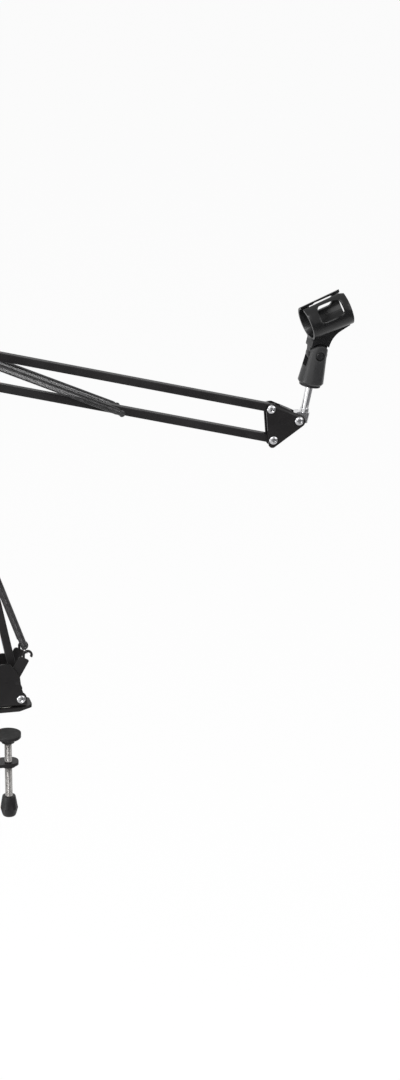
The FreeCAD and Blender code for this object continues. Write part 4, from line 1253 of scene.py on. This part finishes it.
@dataclass
class ArmHead(Assembly):
    """Three-cornered head bracket, swivel lug and bright post."""

    plate_outer: float = 7.0
    coats: Sequence[Coat] = (
        Coat(GLOSS_PAINT, ("head_bracket",), rounding=0.35),
        Coat(POLISHED_CHROME, ("swivel_lug",), rounding=0.35),
        Coat(POLISHED_CHROME, ("mic_post",), rounding=0.2),
    )

    def build(self, shop: Workshop) -> None:
        """Set the head's bolts."""
        BoltSet("head", "head", self.layout.head(), self.plate_outer).build(shop)


@dataclass
class PlasticClip(Assembly):
    """Forked clip base, its threaded insert, knuckle screw and split holder."""

    coats: Sequence[Coat] = (
        Coat(FOOT_PLASTIC, ("clip_base",), rounding=0.6),
        Coat(CLIP_PLASTIC, ("clip_holder",), rounding=0.6),
        Coat(BLACK_OXIDE, ("thread_insert",), rounding=0.3),
        Coat(BLACK_OXIDE, ("knuckle_screw", "knuckle_nut"), rounding=0.2),
    )


# Studio

@dataclass
class Studio:
    """Pale floor, soft lights, white surroundings and the camera."""

    azimuth: float = math.radians(-12.73)
    elevation: float = math.radians(20.91)
    distance: float = 4.2
    pixels_per_metre: float = 949.9
    origin_pixel: Span = (3.57, 707.1)
    sensor: float = 36.0
    floor_height: float = -0.72
    floor_size: float = 30.0
    floor_white: float = 0.88
    floor_colour: Colour = (0.9, 0.9, 0.9)
    card_colour: Colour = (0.2, 0.2, 0.205)
    card_steps: int = 16
    dull: float = 0.9
    soft_light: float = 0.72
    seen_light: float = 1.0

    def build(self) -> None:
        """Set up everything round the object."""
        bpy.context.scene.view_settings.view_transform = "Standard"
        self.floor()
        self.surroundings()
        self.lamp("key_light", Vector((-1.6, -2.2, 2.6)), size=1.6, power=95.0)
        self.lamp("fill_light", Vector((2.6, -1.6, 1.4)), size=2.0, power=32.0)
        self.lamp("left_light", Vector((-1.3, -0.4, 0.05)), size=0.9, power=9.0)
        self.flag("right_flag", Vector((0.3, 0.0, -0.1)), radius=1.3, span=(-6.0, 112.0), height=1.2)
        self.camera()
        LOG.info("studio ready")

    def matte(self, name: str, colour: Colour) -> NodeBench:
        """Material that mirrors nothing.

        Args:
            name: name of the material.
            colour: its colour.

        Returns:
            The bench of the material.
        """
        bench = NodeBench(name)
        bench.shader.inputs["Base Color"].default_value = (*colour, 1.0)
        bench.shader.inputs["Roughness"].default_value = self.dull
        bench.shader.inputs["Specular IOR Level"].default_value = 0.0
        return bench

    def floor(self) -> None:
        """Lay the pale floor, almost white where it is seen or mirrored."""
        half = self.floor_size / 2
        mesh = bpy.data.meshes.new("studio_floor")
        corners = [(-half, -half), (half, -half), (half, half), (-half, half)]
        mesh.from_pydata([(x, y, self.floor_height) for x, y in corners], [], [(0, 1, 2, 3)])
        floor = placed("studio_floor", mesh)
        bench = self.matte("pale_floor", self.floor_colour)
        white = bench.add("ShaderNodeEmission")
        white.inputs["Color"].default_value = WHITE
        share = bench.remap(self.seen_or_mirrored(bench.tree), FULL_SPAN, (0.0, self.floor_white))
        choice = bench.add("ShaderNodeMixShader")
        bench.link(share, choice.inputs["Fac"])
        bench.link(bench.shader.outputs["BSDF"], choice.inputs[1])
        bench.link(white.outputs["Emission"], choice.inputs[2])
        bench.link(choice.outputs["Shader"], bench.tree.nodes["Material Output"].inputs["Surface"])
        mesh.materials.append(bench.material)

    @staticmethod
    def seen_or_mirrored(tree: bpy.types.NodeTree) -> Socket:
        """Mask of what the camera sees straight, in a mirror or through glass.

        Args:
            tree: node tree of a material or of the world.

        Returns:
            The socket with 1 for such rays and 0 for the rest.
        """
        path = tree.nodes.new("ShaderNodeLightPath")
        total = path.outputs["Is Camera Ray"]
        for ray in ("Is Glossy Ray", "Is Transmission Ray"):
            either = tree.nodes.new("ShaderNodeMath")
            either.operation = "MAXIMUM"
            tree.links.new(total, either.inputs[0])
            tree.links.new(path.outputs[ray], either.inputs[1])
            total = either.outputs["Value"]
        return total

    def flag(self, name: str, middle: Vector, radius: float, span: Span, height: float) -> None:
        """Stand a curved dark card that only bright metal and gloss mirror.

        Args:
            name: name of the card.
            middle: point that the card bends round.
            radius: its distance from that point.
            span: degrees to the right of straight ahead where it starts and ends.
            height: its height.
        """
        steps = self.card_steps
        points = []
        for step in range(steps + 1):
            angle = math.radians(span[0] + (span[1] - span[0]) * step / steps)
            foot = middle + Vector((math.sin(angle), -math.cos(angle), 0.0)) * radius
            for rise in (-height / 2, height / 2):
                points.append((foot.x, foot.y, foot.z + rise))
        faces = [(2 * step, 2 * step + 2, 2 * step + 3, 2 * step + 1) for step in range(steps)]
        mesh = bpy.data.meshes.new(name)
        mesh.from_pydata(points, [], faces)
        card = placed(name, mesh)
        mesh.materials.append(self.matte(name, self.card_colour).material)
        card.visible_camera = False
        card.visible_diffuse = False
        card.visible_shadow = False

    def surroundings(self) -> None:
        """Light from all round, white where it is seen or mirrored."""
        world = bpy.data.worlds.new("studio_world")
        bpy.context.scene.world = world
        world.use_nodes = True
        tree = world.node_tree
        tree.nodes.clear()
        choice = tree.nodes.new("ShaderNodeMixShader")
        output = tree.nodes.new("ShaderNodeOutputWorld")
        tree.links.new(self.seen_or_mirrored(tree), choice.inputs["Fac"])
        for socket, strength in zip(choice.inputs[1:], (self.soft_light, self.seen_light)):
            light = tree.nodes.new("ShaderNodeBackground")
            light.inputs["Color"].default_value = WHITE
            light.inputs["Strength"].default_value = strength
            tree.links.new(light.outputs["Background"], socket)
        tree.links.new(choice.outputs["Shader"], output.inputs["Surface"])

    def lamp(self, name: str, place: Vector, size: float, power: float) -> None:
        """Hang a soft square lamp that points at the arm's middle.

        Args:
            name: name of the lamp.
            place: where it hangs.
            size: length of its sides.
            power: its power in watts.
        """
        light = bpy.data.lights.new(name, "AREA")
        light.size = size
        light.energy = power
        lamp = placed(name, light)
        lamp.location = place
        aim = ARM_MIDDLE - place
        lamp.rotation_euler = aim.to_track_quat("-Z", "Y").to_euler()

    def camera(self) -> None:
        """Point the camera so that the swivel's foot falls on its pixel."""
        turn, lift = self.azimuth, self.elevation
        right = Vector((math.cos(turn), math.sin(turn), 0.0))
        up = Vector((-math.sin(turn) * math.sin(lift), math.cos(turn) * math.sin(lift), math.cos(lift)))
        back = right.cross(up)
        across, down = self.origin_pixel
        middle = right * ((IMAGE_WIDTH / 2 - across) / self.pixels_per_metre)
        middle += up * ((down - IMAGE_HEIGHT / 2) / self.pixels_per_metre)
        data = bpy.data.cameras.new("view_camera")
        data.sensor_width = self.sensor
        data.lens = self.sensor * self.pixels_per_metre * self.distance / IMAGE_HEIGHT
        camera = placed("view_camera", data)
        axes = Matrix((right, up, back)).transposed()
        camera.matrix_world = Matrix.Translation(middle + back * self.distance) @ axes.to_4x4()
        bpy.context.scene.camera = camera


def main() -> None:
    """Build every sub-assembly in order, then the studio."""
    logging.basicConfig(level=logging.INFO, format="%(name)s: %(message)s")
    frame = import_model()
    layout = Layout(frame)
    shop = Workshop(frame)
    for kind in (ScrewClamp, SwivelBase, ScissorArms, ArmHead, BalanceSprings, PlasticClip):
        assembly = kind(layout)
        assembly.build(shop)
        assembly.dress(shop)
    Studio().build()


if __name__ == "__main__":
    main()
